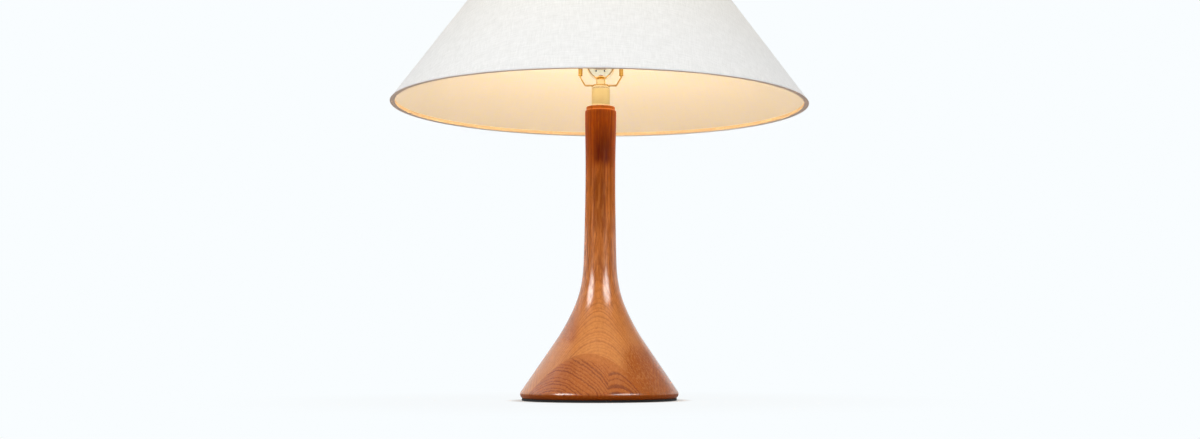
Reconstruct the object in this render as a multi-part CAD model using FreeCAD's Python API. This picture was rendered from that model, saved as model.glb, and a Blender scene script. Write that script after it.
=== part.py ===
import FreeCAD, Part
import math
import os

os.makedirs("parts", exist_ok=True)

# A table lamp with a turned wooden column and a wide conical shade, in millimetres.
# It stands on Z = 0 with its axis on Z. Its front faces -Y and its cord outlet +Y.

# Fits
free_fit = 0.30
running_fit = 0.10
assembly_fit = 0.05
glue_line = 0.10
overcut = 1.0

# Turned wooden body: a foot, a flaring cone, a slim stem and a stepped collar
pad_thickness = 2.6
pad_inset = 2.0
wood_height = 346.2
underside_radius = 90.0
foot_radius = 93.1
foot_height = 4.6
cone_low_height = 7.3
cone_low_radius = 92.8
cone_top_height = 67.4
cone_top_radius = 51.8
flare_mid_height = 92.4
flare_mid_radius = 37.2
flare_high_height = 117.4
flare_high_radius = 26.4
stem_foot_height = 140.4
stem_foot_radius = 21.2
stem_low_height = 172.4
stem_low_radius = 19.2
waist_drop = 52.0
waist_radius = 17.9
stem_top_radius = 18.65
shoulder_height = 2.3
collar_step = 1.6
collar_height = 4.0
collar_round = 0.8
shoulder_swell_out = 1.15
shoulder_swell_up = 1.43

# Recess under the foot, and the cord channel to the back
recess_radius = 24.0
recess_depth = 16.0
channel_height = 9.5
channel_radius = 3.6
bushing_bore = 3.1
bushing_wall = 1.1
bushing_length = 12.0
bushing_flange_width = 1.4
bushing_flange_thickness = 1.6
outlet_inset = 6.96

# Hollow rod that clamps the column, with its nut and washers
rod_radius = 5.05
rod_wall = 1.6
rod_clearance = 0.5
rod_end_below_nut = 2.0
clamp_washer_radius = 17.0
clamp_washer_thickness = 2.0
lock_washer_radius = 8.5
lock_washer_thickness = 1.6
lock_washer_gap = 2.0
nut_across_flats = 14.3
nut_thickness = 5.0

# Brass neck between the wood and the harp saddle
neck_radius = 11.2
neck_wall = 1.4
neck_length = 19.0
neck_chamfer = 0.35
foot_ring_thickness = 2.4
top_ring_thickness = 2.8
saddle_seat_height = 1.0
ring_spigot_height = 1.5

# Harp saddle
saddle_thickness = 1.4
saddle_width = 6.0
saddle_hub_radius = 9.6
saddle_half_length = 18.8
saddle_rise = 10.4
saddle_tip_rise = 2.0
saddle_bend_radius = 2.5
post_radius = 1.2
post_height = 9.0

# Harp
harp_half_spacing = 24.5
harp_wire_radius = 1.9
harp_height = 188.5
harp_leg_length = 39.3
harp_belly_half_width = 46.0
harp_belly_rise = 85.3
harp_top_half_width = 27.0
harp_leg_bend_radius = 60.0
harp_belly_bend_radius = 80.0
harp_top_bend_radius = 24.0
leg_socket_depth = 8.5
ferrule_wall = 0.7
ferrule_length = 12.0

# Stud that carries the shade
stud_block_radius = 6.5
stud_block_height = 6.0
stud_radius = 3.1
stud_length = 15.0

# Lamp holder
holder_hub_radius = 5.9
holder_hub_height = 6.2
holder_wall = 0.8
bowl_height = 16.9
bowl_mid_height = 5.6
bowl_mid_radius = 11.6
bowl_rim_height = 7.5
bowl_floor_land = 0.6
set_screw_radius = 1.4
set_screw_proud = 1.6
shell_radius = 15.9
shell_wall = 0.5
shell_length = 46.5
shell_bead = 0.5
shell_bead_drop = 6.0
shell_seat = 1.0
sleeve_wall = 0.6
sleeve_shortfall = 1.0
core_height = 24.5
core_boss_radius = 9.0
core_boss_height = 6.0
terminal_pocket_depth = 3.2
terminal_pocket_width = 8.0
terminal_pocket_height = 9.0
terminal_pocket_drop = 3.0
terminal_screw_radius = 2.6
terminal_head_thickness = 1.6
terminal_shank_radius = 1.5
terminal_shank_length = 5.0
screw_shell_radius = 13.8
screw_shell_wall = 0.4
screw_shell_height = 19.0
screw_shell_flange = 0.6
contact_clearance = 2.0
contact_radius = 3.5
contact_height = 2.4

# Turn switch
switch_height = 11.5
rotor_radius = 5.6
rotor_length = 8.0
rotor_clearance = 0.6
rotor_flat_depth = 1.4
shaft_radius = 1.6
shaft_length = 26.0
switch_bushing_wall = 1.1
switch_bushing_proud = 3.6
knob_radius = 4.8
knob_length = 14.0
knob_gap = 0.8
knob_cap_thickness = 3.0
knob_round = 1.2
knob_groove_count = 18
knob_groove_radius = 0.45

# Bulb
bulb_tip_radius = 3.2
bulb_tip_height = 1.5
bulb_tip_land = 0.8
bulb_insulator_height = 4.2
bulb_insulator_top_radius = 10.5
bulb_cap_radius = 12.7
bulb_cap_wall = 0.35
bulb_cap_height = 21.0
bulb_thread_count = 4
bulb_thread_pitch = 3.6
bulb_thread_depth = 0.4
bulb_thread_round = 1.4
bulb_thread_start = 2.6
glass_radius = 30.0
glass_wall = 0.8
glass_neck_overlap = 6.0
glass_neck_rise = 44.0
glass_shoulder_rise = 16.0
glass_shoulder_radius = 19.5
stem_tube_radius = 3.5
stem_tube_height = 30.0
stem_flare_thickness = 1.5
filament_lead_radius = 0.45
filament_lead_spread = 12.0
filament_lead_rise = 16.0
filament_radius = 0.6

# Shade
shade_bottom_radius = 248.5
shade_top_radius = 75.5
shade_height = 236.0
shade_rim_height = 349.3
linen_thickness = 0.9
liner_thickness = 0.5
shade_wire_radius = 1.1
hem_thickness = 0.4
hem_height = 4.9
spider_hub_radius = 11.0
spider_hub_thickness = 1.5
spider_arm_radius = 1.0
spider_arm_count = 3
spider_bend_radius = 6.0

# Finial
finial_base_radius = 6.5
finial_base_height = 3.0
finial_base_round = 0.8
finial_neck_radius = 4.6
finial_neck_height = 12.0
finial_ball_radius = 9.0

# Heights that follow from the sizes above
wood_bottom = pad_thickness
wood_top = wood_bottom + wood_height
stem_top = wood_top - collar_height - shoulder_height
collar_radius = stem_top_radius - collar_step
pad_radius = foot_radius - pad_inset
recess_ceiling = wood_bottom + recess_depth
outlet_face = foot_radius - outlet_inset
clamp_washer_bottom = recess_ceiling - clamp_washer_thickness
lock_washer_bottom = clamp_washer_bottom - lock_washer_thickness
nut_bottom = lock_washer_bottom - nut_thickness
neck_bottom = wood_top + foot_ring_thickness
neck_top = neck_bottom + neck_length
top_ring_top = neck_top + top_ring_thickness
saddle_bottom = top_ring_top + saddle_seat_height
saddle_top = saddle_bottom + saddle_thickness
saddle_tip = saddle_bottom + saddle_rise + saddle_tip_rise
bowl_bottom = saddle_top + holder_hub_height
bowl_top = bowl_bottom + bowl_height
holder_rim_top = bowl_top + bowl_rim_height
shell_bottom = bowl_top + shell_seat
shell_top = shell_bottom + shell_length
core_bottom = shell_bottom
core_top = core_bottom + core_height
terminal_height = core_top - terminal_pocket_drop - terminal_pocket_height / 2
sleeve_radius = shell_radius - shell_wall - running_fit
core_radius = sleeve_radius - sleeve_wall - running_fit
bowl_rim_radius = shell_radius + running_fit + holder_wall
switch_axis = core_bottom + switch_height
switch_bushing_radius = shaft_radius + free_fit + switch_bushing_wall
rod_bottom = nut_bottom - rod_end_below_nut
rod_top = bowl_bottom - running_fit
rod_bore = rod_radius - rod_wall
leg_bottom = saddle_tip + 3 * free_fit + assembly_fit
harp_top = saddle_top + harp_height
stud_block_bottom = harp_top - harp_wire_radius - running_fit
stud_block_top = stud_block_bottom + stud_block_height
stud_top = stud_block_top + stud_length
hub_bottom = stud_block_top + free_fit
hub_top = hub_bottom + spider_hub_thickness
finial_bottom = hub_top + free_fit
bulb_bottom = core_top + contact_height + free_fit
insulator_bottom = bulb_bottom + bulb_tip_height
cap_bottom = insulator_bottom + bulb_insulator_height
cap_top = cap_bottom + bulb_cap_height
glass_bottom = cap_top - glass_neck_overlap
glass_neck_radius = bulb_cap_radius - bulb_cap_wall - assembly_fit
glass_equator = cap_top + glass_neck_rise
shade_bottom = shade_rim_height + hem_thickness + assembly_fit
shade_top = shade_bottom + shade_height
shade_slope = (shade_bottom_radius - shade_top_radius) / shade_height
# A wall of a given thickness is this much wider when it is measured level
level = math.sqrt(1 + shade_slope ** 2)


def point(radius, height):
    return FreeCAD.Vector(radius, 0, height)


def lathe(edges):
    """Turn a closed outline in the XZ plane about the lamp's axis."""
    outline = Part.Wire(Part.__sortEdges__(edges))
    return Part.Face(outline).revolve(FreeCAD.Vector(0, 0, 0), FreeCAD.Vector(0, 0, 1), 360)


def chain(points):
    """Straight edges from each point to the next."""
    return [Part.LineSegment(a, b).toShape() for a, b in zip(points, points[1:])]


def lathe_corners(corners):
    """Turn a closed outline with straight sides, given as radius and height pairs."""
    points = [point(radius, height) for radius, height in corners]
    return lathe(chain(points + points[:1]))


def arc(start, middle, end):
    return Part.Arc(start, middle, end).toShape()


def cylinder(radius, bottom, top):
    return Part.makeCylinder(radius, top - bottom, point(0, bottom))


def tube(outer, inner, bottom, top):
    return cylinder(outer, bottom, top).cut(cylinder(inner, bottom, top))


def rod_along_y(radius, start, end, height):
    """A round bar parallel to Y, from y = start to y = end."""
    base = FreeCAD.Vector(0, start, height)
    return Part.makeCylinder(radius, end - start, base, FreeCAD.Vector(0, 1, 0))


def rod_along_x(radius, start, end, height):
    base = FreeCAD.Vector(start, 0, height)
    return Part.makeCylinder(radius, end - start, base, FreeCAD.Vector(1, 0, 0))


def bent_path(corners, radii):
    """A wire of straight runs, with a tangent arc of the given radius at each inner corner."""
    edges = []
    start = corners[0]
    for index, radius in enumerate(radii):
        corner = corners[index + 1]
        back = (corners[index] - corner).normalize()
        ahead = (corners[index + 2] - corner).normalize()
        half_turn = (math.pi - back.getAngle(ahead)) / 2
        setback = radius * math.tan(half_turn)
        bisector = (back + ahead).normalize()
        arc_start = corner + back * setback
        arc_end = corner + ahead * setback
        arc_middle = corner + bisector * (radius / math.cos(half_turn) - radius)
        edges.append(Part.LineSegment(start, arc_start).toShape())
        edges.append(arc(arc_start, arc_middle, arc_end))
        start = arc_end
    edges.append(Part.LineSegment(start, corners[-1]).toShape())
    return Part.Wire(edges)


def sweep(path, profile):
    return Part.Wire(path).makePipeShell([profile], True, False)


def wire_along(path, radius):
    """Round wire whose path starts straight up or down, or level along X."""
    first = path.Edges[0]
    start = first.valueAt(first.FirstParameter)
    direction = first.tangentAt(first.FirstParameter)
    profile = Part.Wire(Part.makeCircle(radius, start, direction))
    return sweep(path, profile)


def teak_body():
    """The turned column, bored for the rod, recessed below and channelled to the back."""
    def at(radius, height):
        return point(radius, wood_bottom + height)

    cone_top = at(cone_top_radius, cone_top_height)
    cone_low = at(cone_low_radius, cone_low_height)
    stations = [
        cone_top,
        at(flare_mid_radius, flare_mid_height),
        at(flare_high_radius, flare_high_height),
        at(stem_foot_radius, stem_foot_height),
        at(stem_low_radius, stem_low_height),
        point(waist_radius, stem_top - waist_drop),
        point(stem_top_radius, stem_top),
    ]
    flare = Part.BSplineCurve()
    along_cone = (cone_top - cone_low).normalize()
    flare.interpolate(Points=stations, InitialTangent=along_cone, FinalTangent=point(0, 1))
    bore = rod_radius + rod_clearance
    round_centre = point(collar_radius - collar_round, wood_top - collar_round)
    round_middle = round_centre + point(1, 1).normalize() * collar_round
    shoulder_top = point(collar_radius, stem_top + shoulder_height)
    shoulder_middle = point(collar_radius + shoulder_swell_out, stem_top + shoulder_swell_up)
    edges = [
        arc(at(underside_radius, 0), at(foot_radius, foot_height), cone_low),
        Part.LineSegment(cone_low, cone_top).toShape(),
        flare.toShape(),
        arc(stations[-1], shoulder_middle, shoulder_top),
        arc(point(collar_radius, wood_top - collar_round), round_middle,
            point(collar_radius - collar_round, wood_top)),
    ]
    edges += chain([shoulder_top, point(collar_radius, wood_top - collar_round)])
    edges += chain([
        point(collar_radius - collar_round, wood_top),
        point(bore, wood_top),
        point(bore, recess_ceiling),
        point(recess_radius, recess_ceiling),
        point(recess_radius, wood_bottom),
        at(underside_radius, 0),
    ])
    body = lathe(edges)
    height = wood_bottom + channel_height
    body = body.cut(rod_along_y(channel_radius, bore, foot_radius, height))
    barrel = bushing_bore + bushing_wall + assembly_fit
    body = body.cut(rod_along_y(barrel, outlet_face - bushing_length, foot_radius, height))
    flange = bushing_bore + bushing_wall + bushing_flange_width + free_fit
    return body.cut(rod_along_y(flange, outlet_face, foot_radius + overcut, height))


def base_pad():
    return cylinder(pad_radius, 0, pad_thickness)


def cord_outlet_bushing():
    height = wood_bottom + channel_height
    face = outlet_face
    barrel = bushing_bore + bushing_wall
    flange = barrel + bushing_flange_width
    bushing = rod_along_y(barrel, face - bushing_length, face, height)
    bushing = bushing.fuse(rod_along_y(flange, face, face + bushing_flange_thickness, height))
    bushing = bushing.cut(rod_along_y(bushing_bore, face - bushing_length, foot_radius, height))
    return bushing.removeSplitter()


def threaded_rod():
    return tube(rod_radius, rod_bore, rod_bottom, rod_top)


def clamp_washer():
    hole = rod_radius + running_fit
    return tube(clamp_washer_radius, hole, clamp_washer_bottom, recess_ceiling)


def lock_washer():
    hole = rod_radius + running_fit
    ring = tube(lock_washer_radius, hole, lock_washer_bottom, clamp_washer_bottom)
    corner = FreeCAD.Vector(0, -lock_washer_gap / 2, lock_washer_bottom)
    slit = Part.makeBox(lock_washer_radius, lock_washer_gap, lock_washer_thickness, corner)
    return ring.cut(slit)


def rod_nut():
    corner_radius = nut_across_flats / math.sqrt(3)
    corners = []
    for index in range(7):
        angle = math.radians(60 * index)
        x = corner_radius * math.cos(angle)
        y = corner_radius * math.sin(angle)
        corners.append(FreeCAD.Vector(x, y, nut_bottom))
    hexagon = Part.Face(Part.makePolygon(corners))
    nut = hexagon.extrude(FreeCAD.Vector(0, 0, nut_thickness))
    return nut.cut(cylinder(rod_radius + assembly_fit, nut_bottom, lock_washer_bottom))


def neck_foot_ring():
    hole = rod_radius + assembly_fit
    spigot = neck_radius - neck_wall - assembly_fit
    ring = tube(neck_radius, hole, wood_top, neck_bottom)
    return ring.fuse(tube(spigot, hole, neck_bottom, neck_bottom + ring_spigot_height)).removeSplitter()


def brass_neck():
    inner = neck_radius - neck_wall
    return lathe_corners([
        (inner, neck_bottom),
        (neck_radius - neck_chamfer, neck_bottom),
        (neck_radius, neck_bottom + neck_chamfer),
        (neck_radius, neck_top - neck_chamfer),
        (neck_radius - neck_chamfer, neck_top),
        (inner, neck_top),
    ])


def neck_top_ring():
    hole = rod_radius + assembly_fit
    spigot = neck_radius - neck_wall - assembly_fit
    ring = tube(neck_radius, hole, neck_top, top_ring_top)
    ring = ring.fuse(tube(saddle_hub_radius, hole, top_ring_top, saddle_bottom))
    return ring.fuse(tube(spigot, hole, neck_top - ring_spigot_height, neck_top)).removeSplitter()


def harp_saddle():
    """A bent strip with a hole for the rod and a post at each tip."""
    middle = saddle_bottom + saddle_thickness / 2
    knee = saddle_bottom + saddle_rise
    corners = [
        point(-harp_half_spacing, saddle_tip),
        point(-harp_half_spacing, knee),
        point(-saddle_half_length, middle),
        point(saddle_half_length, middle),
        point(harp_half_spacing, knee),
        point(harp_half_spacing, saddle_tip),
    ]
    path = bent_path(corners, [saddle_bend_radius] * 4)
    half_width = saddle_width / 2
    half_thickness = saddle_thickness / 2
    profile = Part.makePolygon([
        corners[0] + FreeCAD.Vector(x, y, 0)
        for x, y in (
            (-half_thickness, -half_width),
            (half_thickness, -half_width),
            (half_thickness, half_width),
            (-half_thickness, half_width),
            (-half_thickness, -half_width),
        )
    ])
    saddle = sweep(path, profile)
    saddle = saddle.fuse(cylinder(saddle_hub_radius, saddle_bottom, saddle_top))
    for side in (-1, 1):
        foot = FreeCAD.Vector(side * harp_half_spacing, 0, knee)
        height = saddle_tip_rise + post_height
        saddle = saddle.fuse(Part.makeCylinder(post_radius, height, foot))
    hole = rod_radius + running_fit
    return saddle.cut(cylinder(hole, saddle_bottom, saddle_top)).removeSplitter()


def socket_cap():
    """The bowl-shaped cap of the lamp holder, threaded onto the rod by its hub."""
    def wall(inset):
        return [
            point(holder_hub_radius - inset, bowl_bottom + inset),
            point(bowl_mid_radius - inset, bowl_bottom + bowl_mid_height + inset),
            point(bowl_rim_radius - inset, bowl_top),
        ]

    hole = rod_radius + assembly_fit
    outer = wall(0)
    inner = wall(holder_wall)
    inner[0] = point(holder_hub_radius - holder_wall + bowl_floor_land, bowl_bottom + holder_wall)
    edges = [arc(*outer), arc(*inner)]
    edges += chain([outer[2], point(bowl_rim_radius, holder_rim_top)])
    edges += chain([
        point(bowl_rim_radius, holder_rim_top),
        point(bowl_rim_radius - holder_wall, holder_rim_top),
        inner[2],
    ])
    edges += chain([
        inner[0],
        point(hole, bowl_bottom + holder_wall),
        point(hole, saddle_top),
        point(holder_hub_radius, saddle_top),
        outer[0],
    ])
    cap = lathe(edges)
    screw_height = (saddle_top + bowl_bottom) / 2
    hole_radius = set_screw_radius + assembly_fit
    return cap.cut(rod_along_y(hole_radius, 0, holder_hub_radius + overcut, screw_height))


def cap_set_screw():
    """The small screw in the hub that locks the cap on the rod."""
    height = (saddle_top + bowl_bottom) / 2
    start = rod_radius + assembly_fit
    return rod_along_y(set_screw_radius, start, holder_hub_radius + set_screw_proud, height)


def switch_opening(radius):
    """The round opening in a holder wall that the turn switch passes through."""
    return rod_along_y(radius, -bowl_rim_radius - overcut, 0, switch_axis)


def socket_shell():
    inner = shell_radius - shell_wall
    bead_height = shell_top - shell_bead_drop
    shell = lathe_corners([
        (inner, shell_bottom),
        (shell_radius, shell_bottom),
        (shell_radius, bead_height),
        (shell_radius + shell_bead, bead_height + shell_bead),
        (shell_radius + shell_bead, bead_height + 2 * shell_bead),
        (shell_radius, bead_height + 3 * shell_bead),
        (shell_radius, shell_top),
        (inner, shell_top),
    ])
    return shell.cut(switch_opening(switch_bushing_radius + free_fit))


def insulating_sleeve():
    inner = sleeve_radius - sleeve_wall
    sleeve = tube(sleeve_radius, inner, shell_bottom, shell_top - sleeve_shortfall)
    return sleeve.cut(switch_opening(switch_bushing_radius + free_fit))


def socket_core():
    """The moulded block that carries the contacts and houses the switch."""
    core = cylinder(core_radius, core_bottom, core_top)
    core = core.fuse(cylinder(core_boss_radius, core_bottom - core_boss_height, core_bottom))
    chamber = rotor_radius + rotor_clearance
    start = -rotor_length / 2 - rotor_clearance
    end = rotor_length / 2 + rotor_clearance
    core = core.cut(rod_along_y(chamber, start, end, switch_axis))
    core = core.cut(switch_opening(switch_bushing_radius + assembly_fit))
    for side in (-1, 1):
        face = side * (core_radius - terminal_pocket_depth)
        near = min(face, side * core_radius)
        corner = FreeCAD.Vector(near, -terminal_pocket_width / 2,
                                terminal_height - terminal_pocket_height / 2)
        pocket = Part.makeBox(terminal_pocket_depth, terminal_pocket_width,
                              terminal_pocket_height, corner)
        core = core.cut(pocket)
        shank = terminal_shank_radius + assembly_fit
        inner_end = face - side * terminal_shank_length
        core = core.cut(rod_along_x(shank, min(face, inner_end), max(face, inner_end),
                                    terminal_height))
    return core.removeSplitter()


def terminal_screws():
    """The two screws that clamp the conductors."""
    screws = []
    for side in (-1, 1):
        face = side * (core_radius - terminal_pocket_depth)
        inner_end = face - side * terminal_shank_length
        outer_end = face + side * terminal_head_thickness
        shank = rod_along_x(terminal_shank_radius, min(face, inner_end), max(face, inner_end),
                            terminal_height)
        head = rod_along_x(terminal_screw_radius, min(face, outer_end), max(face, outer_end),
                           terminal_height)
        screws.append(shank.fuse(head).removeSplitter())
    return Part.makeCompound(screws)


def screw_shell():
    """The thin threaded cup that the bulb's cap screws into."""
    inner = screw_shell_radius - screw_shell_wall
    floor = core_top + screw_shell_flange
    cup = tube(screw_shell_radius, inner, core_top, core_top + screw_shell_height)
    return cup.fuse(tube(inner, contact_radius + contact_clearance, core_top, floor)).removeSplitter()


def centre_contact():
    dome = Part.makeSphere(contact_radius, point(0, core_top))
    return dome.common(cylinder(contact_radius, core_top, core_top + contact_height))


def switch_bushing():
    inner = shaft_radius + free_fit
    start = -shell_radius - switch_bushing_proud
    end = -rotor_length / 2 - rotor_clearance
    barrel = rod_along_y(switch_bushing_radius, start, end, switch_axis)
    return barrel.cut(rod_along_y(inner, start, end, switch_axis))


def switch_rotor():
    """The insulated cam that makes and breaks the contact."""
    rotor = rod_along_y(rotor_radius, -rotor_length / 2, rotor_length / 2, switch_axis)
    corner = FreeCAD.Vector(-rotor_radius, -rotor_length / 2,
                            switch_axis + rotor_radius - rotor_flat_depth)
    flat = Part.makeBox(2 * rotor_radius, rotor_length, rotor_flat_depth, corner)
    shaft_hole = rod_along_y(shaft_radius + assembly_fit, -rotor_length / 2, 0, switch_axis)
    return rotor.cut(flat).cut(shaft_hole)


def switch_shaft():
    return rod_along_y(shaft_radius, -shaft_length, 0, switch_axis)


def switch_knob():
    """A small fluted knob on the end of the switch shaft."""
    start = -shell_radius - switch_bushing_proud - knob_gap
    end = start - knob_length
    knob = rod_along_y(knob_radius, end, start, switch_axis)
    knob = knob.makeFillet(knob_round, [knob.Edges[index] for index in round_edges(knob, end)])
    for index in range(knob_groove_count):
        angle = 2 * math.pi * index / knob_groove_count
        base = FreeCAD.Vector(knob_radius * math.cos(angle), end + knob_cap_thickness,
                              switch_axis + knob_radius * math.sin(angle))
        groove = Part.makeCylinder(knob_groove_radius, knob_length, base, FreeCAD.Vector(0, 1, 0))
        knob = knob.cut(groove)
    hole = rod_along_y(shaft_radius + assembly_fit, -shaft_length - assembly_fit, start, switch_axis)
    return knob.cut(hole)


def round_edges(solid, y):
    """Indices of the solid's full circles that lie at the given y."""
    found = []
    for index, edge in enumerate(solid.Edges):
        if abs(edge.CenterOfMass.y - y) < 0.001 and edge.isClosed():
            found.append(index)
    return found


def harp_wire():
    """The bent wire loop, its lower ends bored to slip over the saddle's posts."""
    belly = leg_bottom + harp_belly_rise
    right = [
        point(harp_half_spacing, leg_bottom),
        point(harp_half_spacing, leg_bottom + harp_leg_length),
        point(harp_belly_half_width, belly),
        point(harp_top_half_width, harp_top),
    ]
    left = [FreeCAD.Vector(-corner.x, corner.y, corner.z) for corner in reversed(right)]
    bends = [harp_leg_bend_radius, harp_belly_bend_radius, harp_top_bend_radius]
    path = bent_path(right + left, bends + bends[::-1])
    loop = wire_along(path, harp_wire_radius)
    for side in (-1, 1):
        foot = FreeCAD.Vector(side * harp_half_spacing, 0, leg_bottom)
        loop = loop.cut(Part.makeCylinder(post_radius + running_fit, leg_socket_depth, foot))
    return loop


def harp_ferrule(side):
    """The sleeve that slides down over the joint of harp leg and saddle post."""
    inner = harp_wire_radius + running_fit
    bottom = saddle_tip + free_fit
    foot = FreeCAD.Vector(side * harp_half_spacing, 0, bottom)
    sleeve = Part.makeCylinder(inner + ferrule_wall, ferrule_length, foot)
    return sleeve.cut(Part.makeCylinder(inner, ferrule_length, foot))


def harp_stud():
    """The block on the top of the harp, with the threaded stud for spider and finial."""
    block = cylinder(stud_block_radius, stud_block_bottom, stud_block_top)
    stud = block.fuse(cylinder(stud_radius, stud_block_top, stud_top))
    groove_radius = harp_wire_radius + running_fit
    groove = rod_along_x(groove_radius, -stud_block_radius, stud_block_radius, harp_top)
    corner = FreeCAD.Vector(-stud_block_radius, -groove_radius, stud_block_bottom)
    slot = Part.makeBox(2 * stud_block_radius, 2 * groove_radius,
                        harp_top - stud_block_bottom, corner)
    return stud.cut(groove).cut(slot).removeSplitter()


def cone_radius(depth, height):
    """Radius of the shade's wall at a height, at a depth inward from the linen's face."""
    return shade_bottom_radius - shade_slope * (height - shade_bottom) - depth * level


def cone_shell(outer_depth, inner_depth):
    return lathe_corners([
        (cone_radius(outer_depth, shade_bottom), shade_bottom),
        (cone_radius(outer_depth, shade_top), shade_top),
        (cone_radius(inner_depth, shade_top), shade_top),
        (cone_radius(inner_depth, shade_bottom), shade_bottom),
    ])


def shade_linen():
    return cone_shell(0, linen_thickness)


def shade_liner():
    outer = linen_thickness + glue_line
    return cone_shell(outer, outer + liner_thickness)


wall_depth = linen_thickness + glue_line + liner_thickness
wire_depth = wall_depth + glue_line + shade_wire_radius
lower_wire_height = shade_bottom + glue_line + shade_wire_radius
upper_wire_height = shade_top - glue_line - shade_wire_radius
lower_wire_ring = cone_radius(wire_depth, lower_wire_height)
upper_wire_ring = cone_radius(wire_depth, upper_wire_height)


def shade_bottom_wire():
    return Part.makeTorus(lower_wire_ring, shade_wire_radius, point(0, lower_wire_height))


def bottom_hem():
    """The turned-in edge of the linen, under the wire and up its inner side."""
    inner = lower_wire_ring - shade_wire_radius - glue_line
    floor = shade_bottom - assembly_fit
    return lathe_corners([
        (shade_bottom_radius, floor),
        (inner, floor),
        (inner, shade_rim_height + hem_height),
        (inner - hem_thickness, shade_rim_height + hem_height),
        (inner - hem_thickness, shade_rim_height),
        (shade_bottom_radius, shade_rim_height),
    ])


def top_hem():
    """The turned-in edge of the linen, over the upper wire and down its inner side."""
    inner = upper_wire_ring - shade_wire_radius - glue_line
    ceiling = shade_top + assembly_fit
    drop = 2 * shade_wire_radius + glue_line - assembly_fit
    return lathe_corners([
        (shade_top_radius, ceiling),
        (inner, ceiling),
        (inner, shade_top - drop),
        (inner - hem_thickness, shade_top - drop),
        (inner - hem_thickness, ceiling + hem_thickness),
        (shade_top_radius, ceiling + hem_thickness),
    ])


def spider_arm(angle):
    """One dropped arm, level from the hub and then straight up to the upper wire."""
    middle = (hub_bottom + hub_top) / 2
    corners = [
        point(spider_hub_radius - spider_arm_radius, middle),
        point(upper_wire_ring, middle),
        point(upper_wire_ring, upper_wire_height),
    ]
    arm = wire_along(bent_path(corners, [spider_bend_radius]), spider_arm_radius)
    arm.rotate(FreeCAD.Vector(0, 0, 0), FreeCAD.Vector(0, 0, 1), angle)
    return arm


def spider_frame():
    """Upper wire, arms and hub of the shade frame, welded together."""
    frame = Part.makeTorus(upper_wire_ring, shade_wire_radius, point(0, upper_wire_height))
    for index in range(spider_arm_count):
        frame = frame.fuse(spider_arm(90 + 360 * index / spider_arm_count))
    frame = frame.fuse(cylinder(spider_hub_radius, hub_bottom, hub_top))
    return frame.cut(cylinder(stud_radius + free_fit, hub_bottom, hub_top))


def finial():
    """A turned brass knob, bored to screw down over the stud."""
    ball_bottom = finial_bottom + finial_base_height + finial_neck_height - finial_ball_radius
    ball_centre = ball_bottom + finial_ball_radius + math.sqrt(
        finial_ball_radius ** 2 - finial_neck_radius ** 2)
    base_top = finial_bottom + finial_base_height
    knob = cylinder(finial_base_radius, finial_bottom, base_top)
    knob = knob.makeFillet(finial_base_round, [edge for edge in knob.Edges if edge.isClosed()])
    knob = knob.fuse(cylinder(finial_neck_radius, base_top, ball_centre))
    knob = knob.fuse(Part.makeSphere(finial_ball_radius, point(0, ball_centre)))
    bore = cylinder(stud_radius + running_fit, finial_bottom, stud_top + 2 * free_fit)
    return knob.cut(bore).removeSplitter()


def bulb_contact():
    dome = Part.makeSphere(bulb_tip_radius, point(0, bulb_bottom + bulb_tip_radius))
    return dome.common(cylinder(bulb_tip_radius, bulb_bottom, insulator_bottom))


def bulb_insulator():
    return lathe_corners([
        (0, insulator_bottom),
        (bulb_tip_radius + bulb_tip_land, insulator_bottom),
        (bulb_insulator_top_radius, cap_bottom),
        (0, cap_bottom),
    ])


def bulb_cap():
    """The screw cap, with a rolled thread."""
    inner = bulb_cap_radius - bulb_cap_wall
    cap = tube(bulb_cap_radius, inner, cap_bottom, cap_top)
    cap = cap.fuse(cylinder(inner, cap_bottom, cap_bottom + bulb_cap_wall))
    for index in range(bulb_thread_count):
        height = cap_bottom + bulb_thread_start + index * bulb_thread_pitch
        ring = bulb_cap_radius + bulb_thread_depth - bulb_thread_round
        ridge = Part.makeTorus(ring, bulb_thread_round, point(0, height))
        cap = cap.fuse(ridge.cut(cylinder(bulb_cap_radius, cap_bottom, cap_top)))
    return cap.removeSplitter()


def bulb_glass():
    """The pear-shaped envelope, open where it is cemented into the cap."""
    def outline(inset):
        radius = glass_radius - inset
        foot = point(glass_neck_radius - inset, glass_bottom)
        neck = point(glass_neck_radius - inset, cap_top)
        equator = point(radius, glass_equator)
        shoulder = point(glass_shoulder_radius - inset, cap_top + glass_shoulder_rise)
        side = Part.BSplineCurve()
        side.interpolate(Points=[neck, shoulder, equator],
                         InitialTangent=point(0, 1), FinalTangent=point(0, 1))
        crown = point(0, glass_equator + radius)
        middle = point(0, glass_equator) + point(1, 1).normalize() * radius
        straight = Part.LineSegment(foot, neck).toShape()
        return foot, crown, [straight, side.toShape(), arc(equator, middle, crown)]

    outer_foot, outer_crown, outer_edges = outline(0)
    inner_foot, inner_crown, inner_edges = outline(glass_wall)
    edges = outer_edges + inner_edges
    edges += chain([outer_foot, inner_foot])
    edges += chain([outer_crown, inner_crown])
    return lathe(edges)


def bulb_stem():
    """The pressed glass foot inside the bulb that carries the filament."""
    radius = glass_neck_radius - glass_wall - glue_line
    flare_top = glass_bottom + stem_flare_thickness
    stem = cylinder(radius, glass_bottom, flare_top)
    return stem.fuse(cylinder(stem_tube_radius, flare_top, flare_top + stem_tube_height))


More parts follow.
